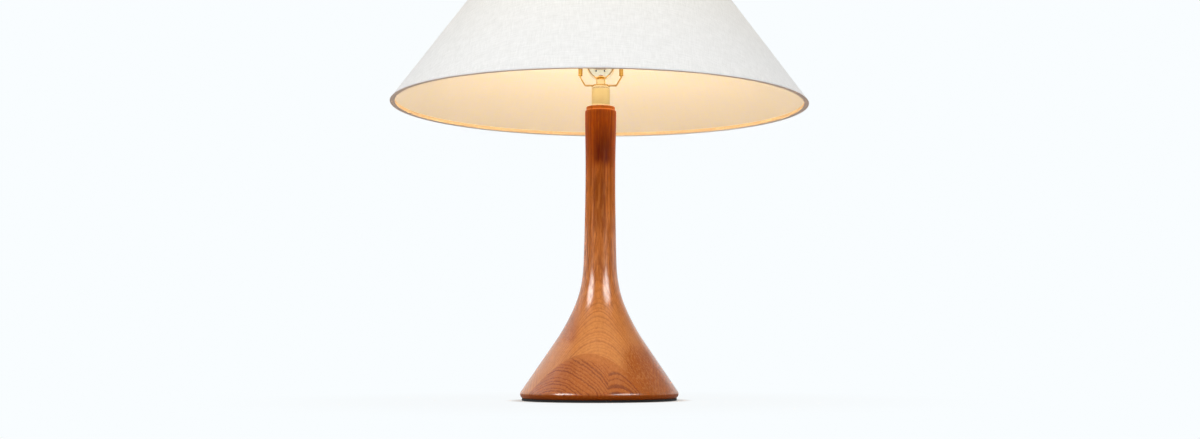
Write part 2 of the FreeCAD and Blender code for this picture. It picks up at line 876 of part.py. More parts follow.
def bulb_filament():
    """Two lead wires and the filament between their tips."""
    bottom = glass_bottom + stem_flare_thickness + stem_tube_height
    foot = stem_tube_radius / 2
    tip_height = bottom + filament_lead_rise
    corners = [
        point(-foot, bottom),
        point(-filament_lead_spread, tip_height),
        point(filament_lead_spread, tip_height),
        point(foot, bottom),
    ]
    leads = []
    for start, end in ((corners[0], corners[1]), (corners[3], corners[2])):
        run = end - start
        foot_end = start + run.normalize() * filament_lead_radius
        length = (end - foot_end).Length
        leads.append(Part.makeCylinder(filament_lead_radius, length, foot_end, end - foot_end))
    coil = rod_along_x(filament_radius, -filament_lead_spread, filament_lead_spread, tip_height)
    return coil.fuse(leads).removeSplitter()


parts = {
    "teak_body": teak_body(),
    "base_pad": base_pad(),
    "cord_outlet_bushing": cord_outlet_bushing(),
    "threaded_rod": threaded_rod(),
    "clamp_washer": clamp_washer(),
    "lock_washer": lock_washer(),
    "rod_nut": rod_nut(),
    "neck_foot_ring": neck_foot_ring(),
    "brass_neck": brass_neck(),
    "neck_top_ring": neck_top_ring(),
    "harp_saddle": harp_saddle(),
    "socket_cap": socket_cap(),
    "cap_set_screw": cap_set_screw(),
    "socket_shell": socket_shell(),
    "insulating_sleeve": insulating_sleeve(),
    "socket_core": socket_core(),
    "terminal_screws": terminal_screws(),
    "screw_shell": screw_shell(),
    "centre_contact": centre_contact(),
    "switch_bushing": switch_bushing(),
    "switch_rotor": switch_rotor(),
    "switch_shaft": switch_shaft(),
    "switch_knob": switch_knob(),
    "harp_wire": harp_wire(),
    "harp_ferrule_left": harp_ferrule(-1),
    "harp_ferrule_right": harp_ferrule(1),
    "harp_stud": harp_stud(),
    "shade_linen": shade_linen(),
    "shade_liner": shade_liner(),
    "shade_bottom_wire": shade_bottom_wire(),
    "bottom_hem": bottom_hem(),
    "top_hem": top_hem(),
    "spider_frame": spider_frame(),
    "finial": finial(),
    "bulb_contact": bulb_contact(),
    "bulb_insulator": bulb_insulator(),
    "bulb_cap": bulb_cap(),
    "bulb_glass": bulb_glass(),
    "bulb_stem": bulb_stem(),
    "bulb_filament": bulb_filament(),
}

for name, shape in parts.items():
    shape.exportStep(f"parts/{name}.step")
    box = shape.BoundBox
    print(f"{name:22s} solids {len(shape.Solids)}  valid {shape.isValid()}  volume {shape.Volume:10.1f}"
          f"  z {box.ZMin:7.2f} to {box.ZMax:7.2f}  widest {max(box.XLength, box.YLength):7.2f}")
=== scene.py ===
import math

import bmesh
import bpy
import numpy as np
from mathutils import Matrix, Vector


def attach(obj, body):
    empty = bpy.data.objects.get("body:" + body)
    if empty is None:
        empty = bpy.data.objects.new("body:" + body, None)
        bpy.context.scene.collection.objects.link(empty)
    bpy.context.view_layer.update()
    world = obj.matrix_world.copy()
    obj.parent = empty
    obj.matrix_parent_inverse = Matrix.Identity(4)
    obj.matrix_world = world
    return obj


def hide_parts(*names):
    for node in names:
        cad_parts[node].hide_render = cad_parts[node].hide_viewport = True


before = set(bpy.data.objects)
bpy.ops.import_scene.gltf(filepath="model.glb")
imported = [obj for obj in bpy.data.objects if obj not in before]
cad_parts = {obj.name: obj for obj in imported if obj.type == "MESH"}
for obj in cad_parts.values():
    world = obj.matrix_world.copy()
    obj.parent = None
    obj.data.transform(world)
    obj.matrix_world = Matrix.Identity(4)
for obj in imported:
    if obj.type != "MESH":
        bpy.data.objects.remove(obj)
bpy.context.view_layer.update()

# The camera stands 1.8 m in front of the lamp, 56 mm above the surface and a little to the right.
# It looks along +Y and up by five degrees. Its frame, shift and focal length are in pixels.
def placed(name, data):
    """A new object in the scene, with this camera, light or mesh."""
    item = bpy.data.objects.new(name, data)
    bpy.context.scene.collection.objects.link(item)
    return item


frame_width = 1200
frame_shift = -70
focal_length = 1508
upward_tilt = 5.054
camera_data = bpy.data.cameras.new("camera")
camera_data.sensor_width = 36
camera_data.lens = 36 * focal_length / frame_width
camera_data.shift_x = frame_shift / frame_width
camera = placed("camera", camera_data)
camera.location = (0.083, -1.787, 0.0557)
camera.rotation_euler = (math.radians(90 + upward_tilt), 0, 0)
bpy.context.scene.camera = camera
bpy.context.scene.view_settings.view_transform = "Standard"


# The studio: a pale floor and a white surround, wide soft lights left and right of the camera, and
# weaker ones overhead and behind. The room behind the camera is darker, as polished wood and brass
# show.
class Value:
    """An output of a node. Python arithmetic on it adds Math nodes to its tree."""

    def __init__(self, tree, socket):
        self.tree = tree
        self.socket = socket

    def node(self, kind, settings=None, inputs=None, out=0):
        """Any other node: its type, its settings, and the values or links of its sockets."""
        made = self.tree.nodes.new(kind)
        for name, setting in (settings or {}).items():
            setattr(made, name, setting)
        for name, value in (inputs or {}).items():
            if isinstance(value, Value):
                self.tree.links.new(value.socket, made.inputs[name])
            else:
                made.inputs[name].default_value = value
        return Value(self.tree, made.outputs[out])

    def math(self, operation, *others):
        return self.node("ShaderNodeMath", {"operation": operation},
                         dict(enumerate((self, *others))))

    def __add__(self, other):
        return self.math("ADD", other)

    def __sub__(self, other):
        return self.math("SUBTRACT", other)

    def __mul__(self, other):
        return self.math("MULTIPLY", other)

    def __truediv__(self, other):
        return self.math("DIVIDE", other)

    def __mod__(self, other):
        return self.math("FLOORED_MODULO", other)

    def __pow__(self, other):
        return self.math("POWER", other)

    def __lt__(self, other):
        return self.math("LESS_THAN", other)

    def __gt__(self, other):
        return self.math("GREATER_THAN", other)

    def __rsub__(self, other):
        return self.node("ShaderNodeMath", {"operation": "SUBTRACT"}, {0: other, 1: self})

    __radd__ = __add__
    __rmul__ = __mul__

    def __abs__(self):
        return self.math("ABSOLUTE")

    def other(self, name):
        """Another output of the same node."""
        return Value(self.tree, self.socket.node.outputs[name])

    def xyz(self):
        split = self.node("ShaderNodeSeparateXYZ", None, {0: self})
        return split.other("X"), split.other("Y"), split.other("Z")

    def rise(self, low, high):
        """0 up to low, 1 from high on and smooth between; low may be the larger of the two."""
        return self.node("ShaderNodeMapRange", {"interpolation_type": "SMOOTHSTEP"},
                         {"Value": self, "From Min": low, "From Max": high})

    def noise(self, scale, detail):
        """Noise of one scale, or of three that stretch it along the axes."""
        place = self
        if isinstance(scale, tuple):
            place = self.node("ShaderNodeVectorMath", {"operation": "MULTIPLY"},
                              {0: self, 1: scale})
            scale = 1.0
        return place.node("ShaderNodeTexNoise", None, {
            "Vector": place, "Scale": scale, "Detail": detail})

    def tint(self, first, second):
        """The first colour where this value is 0, the second where it is 1."""
        return self.node("ShaderNodeMix", {"data_type": "RGBA"}, {0: self, 6: first, 7: second}, 2)


def source(tree, kind, out, settings=None):
    """The first value of a tree, from a node that takes none."""
    return Value(tree, None).node(kind, settings, out=out)


white = (0.947, 0.982, 1.0, 1)
world = bpy.data.worlds.new("white surround")
bpy.context.scene.world = world
world.use_nodes = True
surround = world.node_tree
to_camera = source(surround, "ShaderNodeLightPath", "Is Camera Ray")
through_glass = to_camera.other("Is Transmission Ray")
in_mirror = to_camera.other("Is Glossy Ray")
across, toward, height = source(surround, "ShaderNodeTexCoord", "Generated").xyz()
dark_side = across.rise(0.15, 0.50) * height.rise(0.20, 0.45) * 0.8
dark_room = (toward.rise(0.35, -0.20) + dark_side).math("MINIMUM", 1.0)
daylight = 0.43
backdrop = (to_camera + through_glass).rise(0, 1)
level = daylight + backdrop * (1 - daylight) + in_mirror * (1 - daylight - 0.85 * dark_room)
background = surround.nodes["Background"]
background.inputs["Color"].default_value = white
surround.links.new(level.socket, background.inputs["Strength"])

floor_mesh = bpy.data.meshes.new("floor")
floor_mesh.from_pydata([(-9, -9, 0), (9, -9, 0), (9, 9, 0), (-9, 9, 0)], [], [(0, 1, 2, 3)])
floor = placed("floor", floor_mesh)
floor_paint = bpy.data.materials.new("pale floor")
floor_paint.use_nodes = True
paint = floor_paint.node_tree
paint_shader = paint.nodes["Principled BSDF"]
paint_shader.inputs["Base Color"].default_value = (0.36, 0.24, 0.16, 1)
paint_shader.inputs["Roughness"].default_value = 0.6
paint_shader.inputs["Specular IOR Level"].default_value = 0.2

# The camera sees white, except close round the foot, where more of the lit brown paint shows: a
# painted contact shadow, with the floor's real shadow in it. Brass sees white in a ring near the
# lamp. Elsewhere only the light that the floor gives back is brown.
rays = source(paint, "ShaderNodeLightPath", "Is Camera Ray")
spot = source(paint, "ShaderNodeTexCoord", "Object")
_, behind, _ = spot.xyz()
distance = spot.node("ShaderNodeVectorMath", {"operation": "LENGTH"}, {0: spot}, "Value")
mirrored = rays.other("Is Glossy Ray") * (
    behind.rise(-0.60, -0.35) + distance.rise(0.70, 0.50) * distance.rise(0.15, 0.25)).rise(0, 1)
seen = (rays + mirrored + rays.other("Is Transmission Ray")).rise(0, 1)
plain = seen * (0.95 + 0.05 * distance.rise(0.12, 0.5) - 0.50 * distance.rise(0.113, 0.094))
glow = spot.node("ShaderNodeEmission", None, {"Color": white, "Strength": 1.0})
mixed = plain.node("ShaderNodeMixShader", None, {
    0: plain, 1: Value(paint, paint_shader.outputs[0]), 2: glow})
paint.links.new(mixed.socket, paint.nodes["Material Output"].inputs["Surface"])
floor_mesh.materials.append(floor_paint)


def soft_light(name, azimuth, elevation, distance, width, height, power):
    """A flat light, placed by its direction from the lamp and turned to face it."""
    data = bpy.data.lights.new(name, "AREA")
    data.shape = "ELLIPSE"
    data.size = width
    data.size_y = height
    data.energy = power
    data.color = (0.95, 0.98, 1.0)
    around = math.radians(azimuth)
    up = math.radians(elevation)
    away = Vector((math.sin(around) * math.cos(up), -math.cos(around) * math.cos(up),
                   math.sin(up)))
    light = placed(name, data)
    light.location = Vector((0, 0, 0.15)) + away * distance
    light.rotation_euler = away.to_track_quat("Z", "Y").to_euler()


soft_light("left wide soft light", -54, 26.5, 2.1, 1.15, 0.95, 25)
soft_light("right wide soft light", 43, 26.5, 2.1, 1.35, 1.05, 24.5)
soft_light("overhead soft light", 180, 74, 2.6, 1.6, 1.6, 6)
soft_light("back soft light", 180, 36, 2.6, 1.4, 1.2, 13)


# The base pad: a disc of black felt on rubber, glued under the wooden foot. It closes the recess
# that holds the nut, and its cut edge shows as a thin dark line below the wood.
def new_tree(name, inputs):
    """A geometry tree with these named inputs and a mesh or curve in and out."""
    tree = bpy.data.node_groups.new(name, "GeometryNodeTree")
    tree.interface.new_socket("Geometry", in_out="INPUT", socket_type="NodeSocketGeometry")
    for label, kind in inputs:
        tree.interface.new_socket(label, in_out="INPUT", socket_type=f"NodeSocket{kind}")
    tree.interface.new_socket("Geometry", in_out="OUTPUT", socket_type="NodeSocketGeometry")
    return tree


def end_tree(shape, given):
    """Every tree ends with real geometry in the piece's own material."""
    whole = shape.node("GeometryNodeRealizeInstances", None, {0: shape})
    painted = whole.node("GeometryNodeSetMaterial", None, {
        "Geometry": whole, "Material": given.other("Material")})
    out = painted.tree.nodes.new("NodeGroupOutput")
    painted.tree.links.new(painted.socket, out.inputs[0])


def grow(name, start, tree, settings):
    """Run a geometry tree, with these inputs, on a start shape."""
    seed = placed(name, start)
    modifier = seed.modifiers.new("build", "NODES")
    modifier.node_group = tree
    for item in tree.interface.items_tree:
        if item.in_out == "INPUT" and item.name in settings:
            modifier[item.identifier] = settings[item.name]
    return baked(seed)


def baked(draft):
    """The finished piece that a draft's modifiers make, in place of the draft."""
    name = draft.name
    bpy.context.view_layer.update()
    depsgraph = bpy.context.evaluated_depsgraph_get()
    mesh = bpy.data.meshes.new_from_object(draft.evaluated_get(depsgraph))
    bpy.data.objects.remove(draft)
    return finished(name, mesh)


def finished(name, mesh):
    """An object at the origin from a closed mesh, smooth except at edges of over 32 degrees."""
    shape = bmesh.new()
    shape.from_mesh(mesh)
    bmesh.ops.remove_doubles(shape, verts=shape.verts, dist=1e-7)
    bmesh.ops.recalc_face_normals(shape, faces=shape.faces)
    shape.to_mesh(mesh)
    shape.free()
    mesh.polygons.foreach_set("use_smooth", [True] * len(mesh.polygons))
    mesh.set_sharp_from_angle(angle=math.radians(32))
    mesh.name = name
    return placed(name, mesh)


def turning_tree():
    """Turns an outline of radius and height about Z, with threads or flutes where asked."""
    tree = new_tree("turned on the lathe", (
        ("Around", "Int"), ("Thread pitch", "Float"), ("Thread depth", "Float"),
        ("Thread from", "Float"), ("Thread to", "Float"), ("Flutes", "Int"),
        ("Flute depth", "Float"), ("Flutes from", "Float"), ("Flutes to", "Float"),
        ("Material", "Material")))
    given = source(tree, "NodeGroupInput", 0)
    around = given.other("Around")
    rings = given.node("GeometryNodeAttributeDomainSize", None, {0: given})
    grid = given.node("GeometryNodeMeshGrid", None, {
        "Vertices X": rings, "Vertices Y": around + 1})
    index = source(tree, "GeometryNodeInputIndex", 0)
    ring = (index / (around + 1)).math("FLOOR")
    turn = (index - ring * (around + 1)) / around * math.tau
    outline = given.node("GeometryNodeSampleIndex", {"data_type": "FLOAT_VECTOR"}, {
        "Geometry": given, "Value": source(tree, "GeometryNodeInputPosition", 0), "Index": ring})
    radius, _, height = outline.xyz()
    fade = given.other("Thread pitch") * 0.5
    threaded = height.rise(given.other("Thread from"), given.other("Thread from") + fade)
    threaded = threaded * height.rise(given.other("Thread to"), given.other("Thread to") - fade)
    wave = (height / given.other("Thread pitch") * math.tau - turn).math("COSINE")
    radius = radius + threaded * given.other("Thread depth") * (wave * 0.5 + 0.5)
    fluted = (height > given.other("Flutes from")) * (height < given.other("Flutes to"))
    scallop = (turn * given.other("Flutes") * 0.5).math("COSINE")
    radius = radius - fluted * given.other("Flute depth") * (1 - abs(scallop)) ** 2
    place = given.node("ShaderNodeCombineXYZ", None, {
        "X": radius * turn.math("COSINE"), "Y": radius * turn.math("SINE"), "Z": height})
    shape = given.node("GeometryNodeSetPosition", None, {0: grid, "Position": place})
    shape = shape.node("GeometryNodeMergeByDistance", None, {0: shape, "Distance": 1e-7})
    end_tree(shape, given)
    return tree


turning = turning_tree()
mm = 0.001


def turned(name, outline, finish, around=96, place=None, **extras):
    """A turned piece from a closed outline in millimetres, or one that ends on the axis."""
    settings = {
        "Around": around, "Thread pitch": 1.0, "Thread depth": 0.0, "Thread from": 10.0,
        "Thread to": 11.0, "Flutes": 1, "Flute depth": 0.0, "Flutes from": 10.0,
        "Flutes to": 11.0, "Material": finish.material}
    settings.update({key.replace("_", " ").capitalize(): value for key, value in extras.items()})
    points = bpy.data.meshes.new(name)
    points.from_pydata([(r * mm, 0, z * mm) for r, z in outline], [], [])
    piece = grow(name, points, turning, settings)
    if place:
        piece.data.transform(place)
    return piece


def curved(first, corner, last, steps):
    """Points from first to last on a curve that heads for the corner."""
    first, corner, last = Vector(first), Vector(corner), Vector(last)
    shares = [step / steps for step in range(steps + 1)]
    return [tuple(first * (1 - t) ** 2 + corner * 2 * t * (1 - t) + last * t ** 2)
            for t in shares]


def rounded(corners, radius, steps=4):
    """An outline with its corners eased. It is closed unless it starts and ends on the axis."""
    points = []
    for index, corner in enumerate(corners):
        if corner[0] == 0:
            points.append(corner)
            continue
        here = Vector(corner)
        back = Vector(corners[index - 1]) - here
        ahead = Vector(corners[(index + 1) % len(corners)]) - here
        reach = min(radius, back.length * 0.45, ahead.length * 0.45)
        points += curved(here + back.normalized() * reach, here,
                         here + ahead.normalized() * reach, steps)
    return points if corners[0][0] == 0 else points + points[:1]


class Finish:
    """A material with one shader: plain numbers on its sockets, and values that vary."""

    def __init__(self, name, **numbers):
        self.material = bpy.data.materials.new(name)
        self.material.use_nodes = True
        self.tree = self.material.node_tree
        self.shader = self.tree.nodes["Principled BSDF"]
        for label, number in numbers.items():
            self.shader.inputs[label.replace("_", " ")].default_value = number
        self.place = source(self.tree, "ShaderNodeTexCoord", "Object")

    def vary(self, **values):
        for label, value in values.items():
            self.tree.links.new(value.socket, self.shader.inputs[label.replace("_", " ")])

    def bump(self, height, depth):
        """Relief: a height from 0 to 1 that stands depth metres proud."""
        bumped = height.node("ShaderNodeBump", None, {"Height": height, "Distance": depth})
        self.tree.links.new(bumped.socket, self.shader.inputs["Normal"])


def fit(piece, body, slot, *nodes):
    """Let the piece ride on its body, in place of these CAD nodes. The slot is not used."""
    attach(piece, body)
    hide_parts(*nodes)


felt = Finish("black felt", Roughness=0.95, Sheen_Weight=0.03, Sheen_Roughness=0.6)
fibres = felt.place.noise(2600, 3)
felt.vary(Base_Color=fibres.tint((0.002, 0.002, 0.002, 1), (0.010, 0.010, 0.010, 1)))
felt.bump(fibres, 0.0004)
pad = turned("base_felt_pad", rounded([(0, 0), (91.1, 0), (91.1, 2.6), (0, 2.6)], 0.5),
             felt, 160)
fit(pad, "lamp_base", "base_felt", "base_pad")


# The column and foot: one blank of teak, glued up from boards, turned on the lathe and finished
# with a satin oil. The post in the middle shows long arches where the foot flares, and the boards
# added low down for width show their own slanting figure.
def through(stations, first_slope, last_slope, steps=14):
    """Points of a smooth curve of radius over height through the stations."""
    z = np.array([height for _, height in stations], float)
    r = np.array([radius for radius, _ in stations], float)
    span = np.diff(z)
    rise = np.diff(r) / span
    count = len(z)
    matrix = np.zeros((count, count))
    known = np.zeros(count)
    matrix[0, 0] = matrix[-1, -1] = 1
    known[0], known[-1] = first_slope, last_slope
    for i in range(1, count - 1):
        matrix[i, i - 1:i + 2] = 1 / span[i - 1], 2 / span[i - 1] + 2 / span[i], 1 / span[i]
        known[i] = 3 * (rise[i - 1] / span[i - 1] + rise[i] / span[i])
    slope = np.linalg.solve(matrix, known)
    points = []
    for i in range(count - 1):
        for step in range(steps):
            t = step / steps
            points.append((
                r[i] * (1 + 2 * t) * (1 - t) ** 2 + slope[i] * span[i] * t * (1 - t) ** 2
                + r[i + 1] * t * t * (3 - 2 * t) - slope[i + 1] * span[i] * t * t * (1 - t),
                z[i] + span[i] * t))
    return points + [(r[-1], z[-1])]


def arc_through(first, middle, last, steps=10):
    """Points of the circular arc through three points."""
    a, b, c = (complex(*p) for p in (first, middle, last))
    w = (c - a) / (b - a)
    centre = (b - a) * (w - abs(w) ** 2) / (2j * w.imag) + a
    radius = abs(a - centre)
    begin, between, end = (math.atan2(*reversed(((p - centre).real, (p - centre).imag)))
                           for p in (a, b, c))
    sweep = (end - begin) % math.tau
    if (between - begin) % math.tau > sweep:
        sweep -= math.tau
    return [(centre.real + radius * math.cos(begin + sweep * step / steps),
             centre.imag + radius * math.sin(begin + sweep * step / steps))
            for step in range(steps + 1)]


def drilled(piece, radius, begin, end):
    """Cut a round hole through a piece, from one point to another, in metres."""
    begin, end = Vector(begin), Vector(end)
    turn = (end - begin).to_track_quat("Z", "Y").to_matrix().to_4x4()
    drill = bmesh.new()
    bmesh.ops.create_cone(drill, cap_ends=True, segments=48, radius1=radius, radius2=radius,
                          depth=(end - begin).length,
                          matrix=Matrix.Translation((begin + end) / 2) @ turn)
    mesh = bpy.data.meshes.new("drill")
    drill.to_mesh(mesh)
    drill.free()
    cut = piece.modifiers.new("hole", "BOOLEAN")
    cut.operation = "DIFFERENCE"
    cut.solver = "EXACT"
    cut.object = cutter = placed("drill", mesh)
    result = baked(piece)
    bpy.data.objects.remove(cutter)
    return result


foot_radius, foot_height = 92.8, 9.9
flare_radius, flare_height = 51.8, 70.0
cone_slope = (flare_radius - foot_radius) / (flare_height - foot_height)
cone = [(foot_radius + cone_slope * rise, foot_height + rise) for rise in (
    0, 1.6, 2, 3, 6, 12, 24, 40)]
side = arc_through((90, 2.6), (93.1, 7.2), cone[0], 16)[:-3]
side += curved(side[-1], cone[0], cone[1], 8)[1:] + cone[2:]
side += through([(flare_radius, flare_height), (37.2, 95.0), (26.4, 120.0), (21.2, 143.0),
                 (19.2, 175.0), (17.9, 290.5), (18.65, 342.5)], cone_slope, 0.0)
side += arc_through((18.65, 342.5), (18.2, 343.93), (17.05, 344.8), 6)[1:]
side += arc_through((17.05, 348.0), (16.82, 348.57), (16.25, 348.8), 5)
side += [(5.55, 348.8), (5.55, 18.6), (24.0, 18.6), (24.0, 2.6), (90, 2.6)]

teak = Finish("oiled teak", Specular_IOR_Level=0.08, Coat_Roughness=0.20, Coat_IOR=1.85)
x, y, z = teak.place.xyz()
wander = teak.place.noise((9, 9, 3.2), 2) - 0.5
sway = teak.place.noise((26, 26, 9), 2) - 0.5
forward = 0 - y

# Which board a point is in: the post, or the boards glued on at the front, back and sides.
front_board = (forward - x * 0.166).rise(0.0629, 0.0631)
right_half = x.rise(0.0136, 0.0138)
back_board = y.rise(0.0600, 0.0602)
between = (1 - front_board) * (1 - back_board)
right_board = x.rise(0.0610, 0.0612) * between
left_board = x.rise(-0.0680, -0.0682) * between
post = between * (1 - right_board) * (1 - left_board)


def growth(depth, spacing, edge=0.16):
    """Dark late wood that deepens over each year's ring and ends sharply at the next."""
    part = (depth / spacing) % 1.0
    return part.rise(0.25, 1.0 - edge) * part.rise(1.0, 1.0 - edge)


# The year rings of each board, from how deep a point lies across them.
post_depth = forward * 0.985 - x * 0.02 - x * x * 6.0 + wander * 0.004 + sway * 0.0008
post_bands = post_depth.noise((260, 0, 0), 1).rise(0.30, 0.70)
ripple = teak.place.noise((75, 75, 40), 2) - 0.5
ragged = teak.place.noise((420, 420, 160), 1) - 0.5
post_depth = (post_depth + post_depth.noise((170, 0, 0), 2) * 0.005
              + ripple * 0.0010 + ragged * 0.0010)
post_rings = growth(post_depth, 0.0024) * (0.30 + 0.85 * post_bands)
left_slant = (forward - x * 0.65 + z * 0.076 + wander * 0.012 + sway * 0.0040
              + ripple * 0.0026 + ragged * 0.0013)
right_slant = (forward * 0.90 + x * 0.25 + z * 0.45 + wander * 0.006 + sway * 0.0014
               + ripple * 0.0008 + ragged * 0.0003)
left_slant = left_slant + left_slant.noise((145, 0, 0), 2) * 0.0068
right_slant = right_slant + right_slant.noise((400, 0, 0), 2) * 0.002
left_rings = growth(left_slant, 0.0027, 0.14) ** 1.8 * (
    0.32 + 1.05 * left_slant.noise((470, 0, 0), 1).rise(0.36, 0.60))
right_rings = growth(right_slant, 0.0011, 0.14) ** 1.8 * (
    0.35 + 0.95 * right_slant.noise((1200, 0, 0), 1).rise(0.35, 0.62))
front_rings = (left_rings * (1 - right_half) + right_rings * right_half) * (
    0.55 + 0.75 * teak.place.noise((1300, 1300, 700), 1).rise(0.35, 0.60))
front_calm = (forward - x * 0.166 + x.rise(-0.01, -0.04) * 0.005).rise(0.0665, 0.0715)
side_depth = abs(x) + wander * 0.010 + sway * 0.0022 + z * 0.06
side_rings = growth(side_depth, 0.0034)
back_depth = y * 0.9 + x * 0.35 + wander * 0.014 + sway * 0.003
back_rings = growth(back_depth, 0.0040)

# What lies over the rings: fibres, streaks, open pores, short dashes and dark veins.
fibre = teak.place.noise((1500, 1500, 34), 3)
streak = teak.place.noise((330, 330, 4.5), 3)
pores = teak.place.noise((2300, 2300, 120), 1).rise(0.62, 0.70)
dashes = teak.place.noise((520, 520, 50), 2)
dark_vein = teak.place.noise((150, 150, 9), 2).rise(0.60, 0.68)

# The colour, from the stem's and the foot's plain tones to the finest grain, with painted shade
# and a painted highlight where marked.
rings = (post * post_rings * 0.68 + front_board * front_rings * (0.38 + 0.85 * front_calm)
         + (right_board + left_board) * side_rings * 0.45 + back_board * back_rings * 0.8)
low = z.rise(0.165, 0.085)
high = z.rise(0.200, 0.300)
stem_tone = z.rise(0.178, 0.225).tint((0.51, 0.153, 0.020, 1), (0.55, 0.165, 0.024, 1))
# Painted shade: a dark band down the middle of the stem, front and back, from about 185 to 285 mm,
# where the lampshade's shadow and darker reflections fall.
middle = abs(x + 0.001).rise(0.010, 0.004) * z.rise(0.185, 0.215) * z.rise(0.285, 0.255)
stem_tone = (middle * 0.74).tint(stem_tone, (0.22, 0.044, 0.001, 1))
# Painted shade: above about 250 mm the stem is painted a darker, deeper orange, under the
# lampshade.
stem_tone = z.rise(0.250, 0.310).tint(stem_tone, (0.53, 0.098, 0.0008, 1))
# Painted shadow: the shade's near rim darkens the front of the stem from about 270 mm up, most
# near 290 mm and fading towards the collar.
painted_rim_shadow = abs(x - 0.003).rise(0.015, 0.005) * z.rise(0.270, 0.286) * forward.rise(0.0, 0.008)
painted_rim_shadow = painted_rim_shadow * (0.30 + 0.70 * z.rise(0.335, 0.296))
stem_tone = painted_rim_shadow.tint(stem_tone, (0.150, 0.016, 0.0003, 1))
pale = low.tint(stem_tone, (0.53, 0.184, 0.035, 1))
body_tone = (front_board * (0.62 + 0.30 * front_calm)).tint(pale, (0.36, 0.080, 0.005, 1))
flecked = fibre.rise(0.45, 0.60) * x.rise(-0.022, -0.030) * x.rise(-0.046, -0.036)
flecked = flecked * z.rise(0.062, 0.072) * z.rise(0.108, 0.092)
# Low on the right of the foot the wood is darker and streaky, and the left flank has flecks. Over
# the left flank above about 75 mm a painted shade tones down where the left light falls strongest.
dusky_streaks_and_shade = x.rise(0.020, 0.040) * z.rise(0.078, 0.048) * (0.60 + 0.40 * dashes.rise(0.35, 0.65))
dusky_streaks_and_shade = dusky_streaks_and_shade + flecked * 0.55 + x.rise(-0.015, -0.030) * z.rise(0.060, 0.075) * 0.50
body_tone = dusky_streaks_and_shade.rise(0, 1).tint(body_tone, (0.36, 0.085, 0.003, 1))
grained = (rings * 0.80).rise(0.0, 1.0).tint(body_tone, (0.200, 0.036, 0.004, 1))
early = front_board * front_calm * front_rings.rise(0.12, 0.0)
grained = (early * 0.08).tint(grained, (0.60, 0.245, 0.075, 1))
grained = (streak.rise(0.40, 0.74) * (0.45 + 0.25 * high - 0.33 * low)).tint(
    grained, (0.20, 0.040, 0.002, 1))
fibre_tone = high.tint((0.70, 0.270, 0.060, 1), (0.50, 0.120, 0.004, 1))
grained = (fibre.rise(0.50, 0.78) * (0.30 - 0.18 * low)).tint(grained, fibre_tone)
grained = (dashes.rise(0.50, 0.66) * (0.42 - 0.24 * low)).tint(grained, (0.20, 0.042, 0.003, 1))
grained = (dashes.rise(0.48, 0.34) * (0.34 - 0.22 * low) * (1 - 0.7 * painted_rim_shadow)).tint(
    grained, fibre_tone)
# Painted light: the collar above about 344 mm is lightened where the bulb lights it, and a painted
# highlight runs round the shoulder's rounding.
painted_shoulder_highlight = z.rise(0.3434, 0.3444) * z.rise(0.3458, 0.3450)
grained = (z.rise(0.3430, 0.3446) * 0.26 + painted_shoulder_highlight * 0.45).tint(grained, (0.90, 0.300, 0.060, 1))
grained = (dark_vein * 0.35 * (1 - low)).tint(grained, (0.16, 0.030, 0.002, 1))
# Painted shade: the rounded bottom edge, below about 9 mm, faces down and is darkened; it also
# takes less coat.
painted_edge_shade = z.rise(0.0094, 0.0070)
grained = (painted_edge_shade * 0.78).tint(grained, (0.21, 0.038, 0.0003, 1))
grained = (pores * (0.50 - 0.15 * low + 0.20 * front_board)).tint(grained, (0.10, 0.020, 0.004, 1))
teak.vary(Base_Color=grained, Roughness=0.42 + fibre * 0.10 + pores * 0.12,
          Coat_Weight=(0.97 - pores * 0.60 - dashes.rise(0.45, 0.62) * 0.35
                       - fibre.rise(0.50, 0.68) * 0.22 - z.rise(0.160, 0.240) * 0.80
                       - painted_edge_shade * 0.95))
teak.bump(1 - pores * 0.8 - rings * 0.15 - fibre * 0.1, 0.00012)

column = turned("turned_teak_column", side, teak, 224)
outlet_height = 0.0121
for bore, depth in ((0.0036, 0.0055), (0.00425, 0.0741), (0.0059, 0.08614)):
    column = drilled(column, bore, (0, depth, outlet_height), (0, 0.100, outlet_height))
fit(column, "lamp_base", "teak", "teak_body")


# The clamp in the recess: a hollow threaded rod runs up through the column, and a washer, a split
# lock washer and a nut under the wood pull the whole lamp together. All are zinc-plated steel.
def fit_eased(body, slot, node, name, finish, width, steps=2):
    """Fit a machined or moulded piece: the node's own form, its sharp edges rounded off."""
    shape = bmesh.new()
    shape.from_mesh(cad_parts[node].data)
    bmesh.ops.remove_doubles(shape, verts=shape.verts, dist=1e-6)
    bmesh.ops.dissolve_limit(shape, angle_limit=math.radians(0.3), verts=shape.verts,
                             edges=shape.edges)
    shape.verts.index_update()
    mesh = bpy.data.meshes.new(name)
    mesh.from_pydata([vertex.co for vertex in shape.verts], [],
                     [[vertex.index for vertex in face.verts] for face in shape.faces])
    shape.free()
    mesh.materials.append(finish.material)
    draft = placed(name, mesh)
    bevel = draft.modifiers.new("eased edges", "BEVEL")
    bevel.width = width
    bevel.segments = steps
    bevel.limit_method = "ANGLE"
    bevel.angle_limit = math.radians(50)
    fit(baked(draft), body, slot, node)


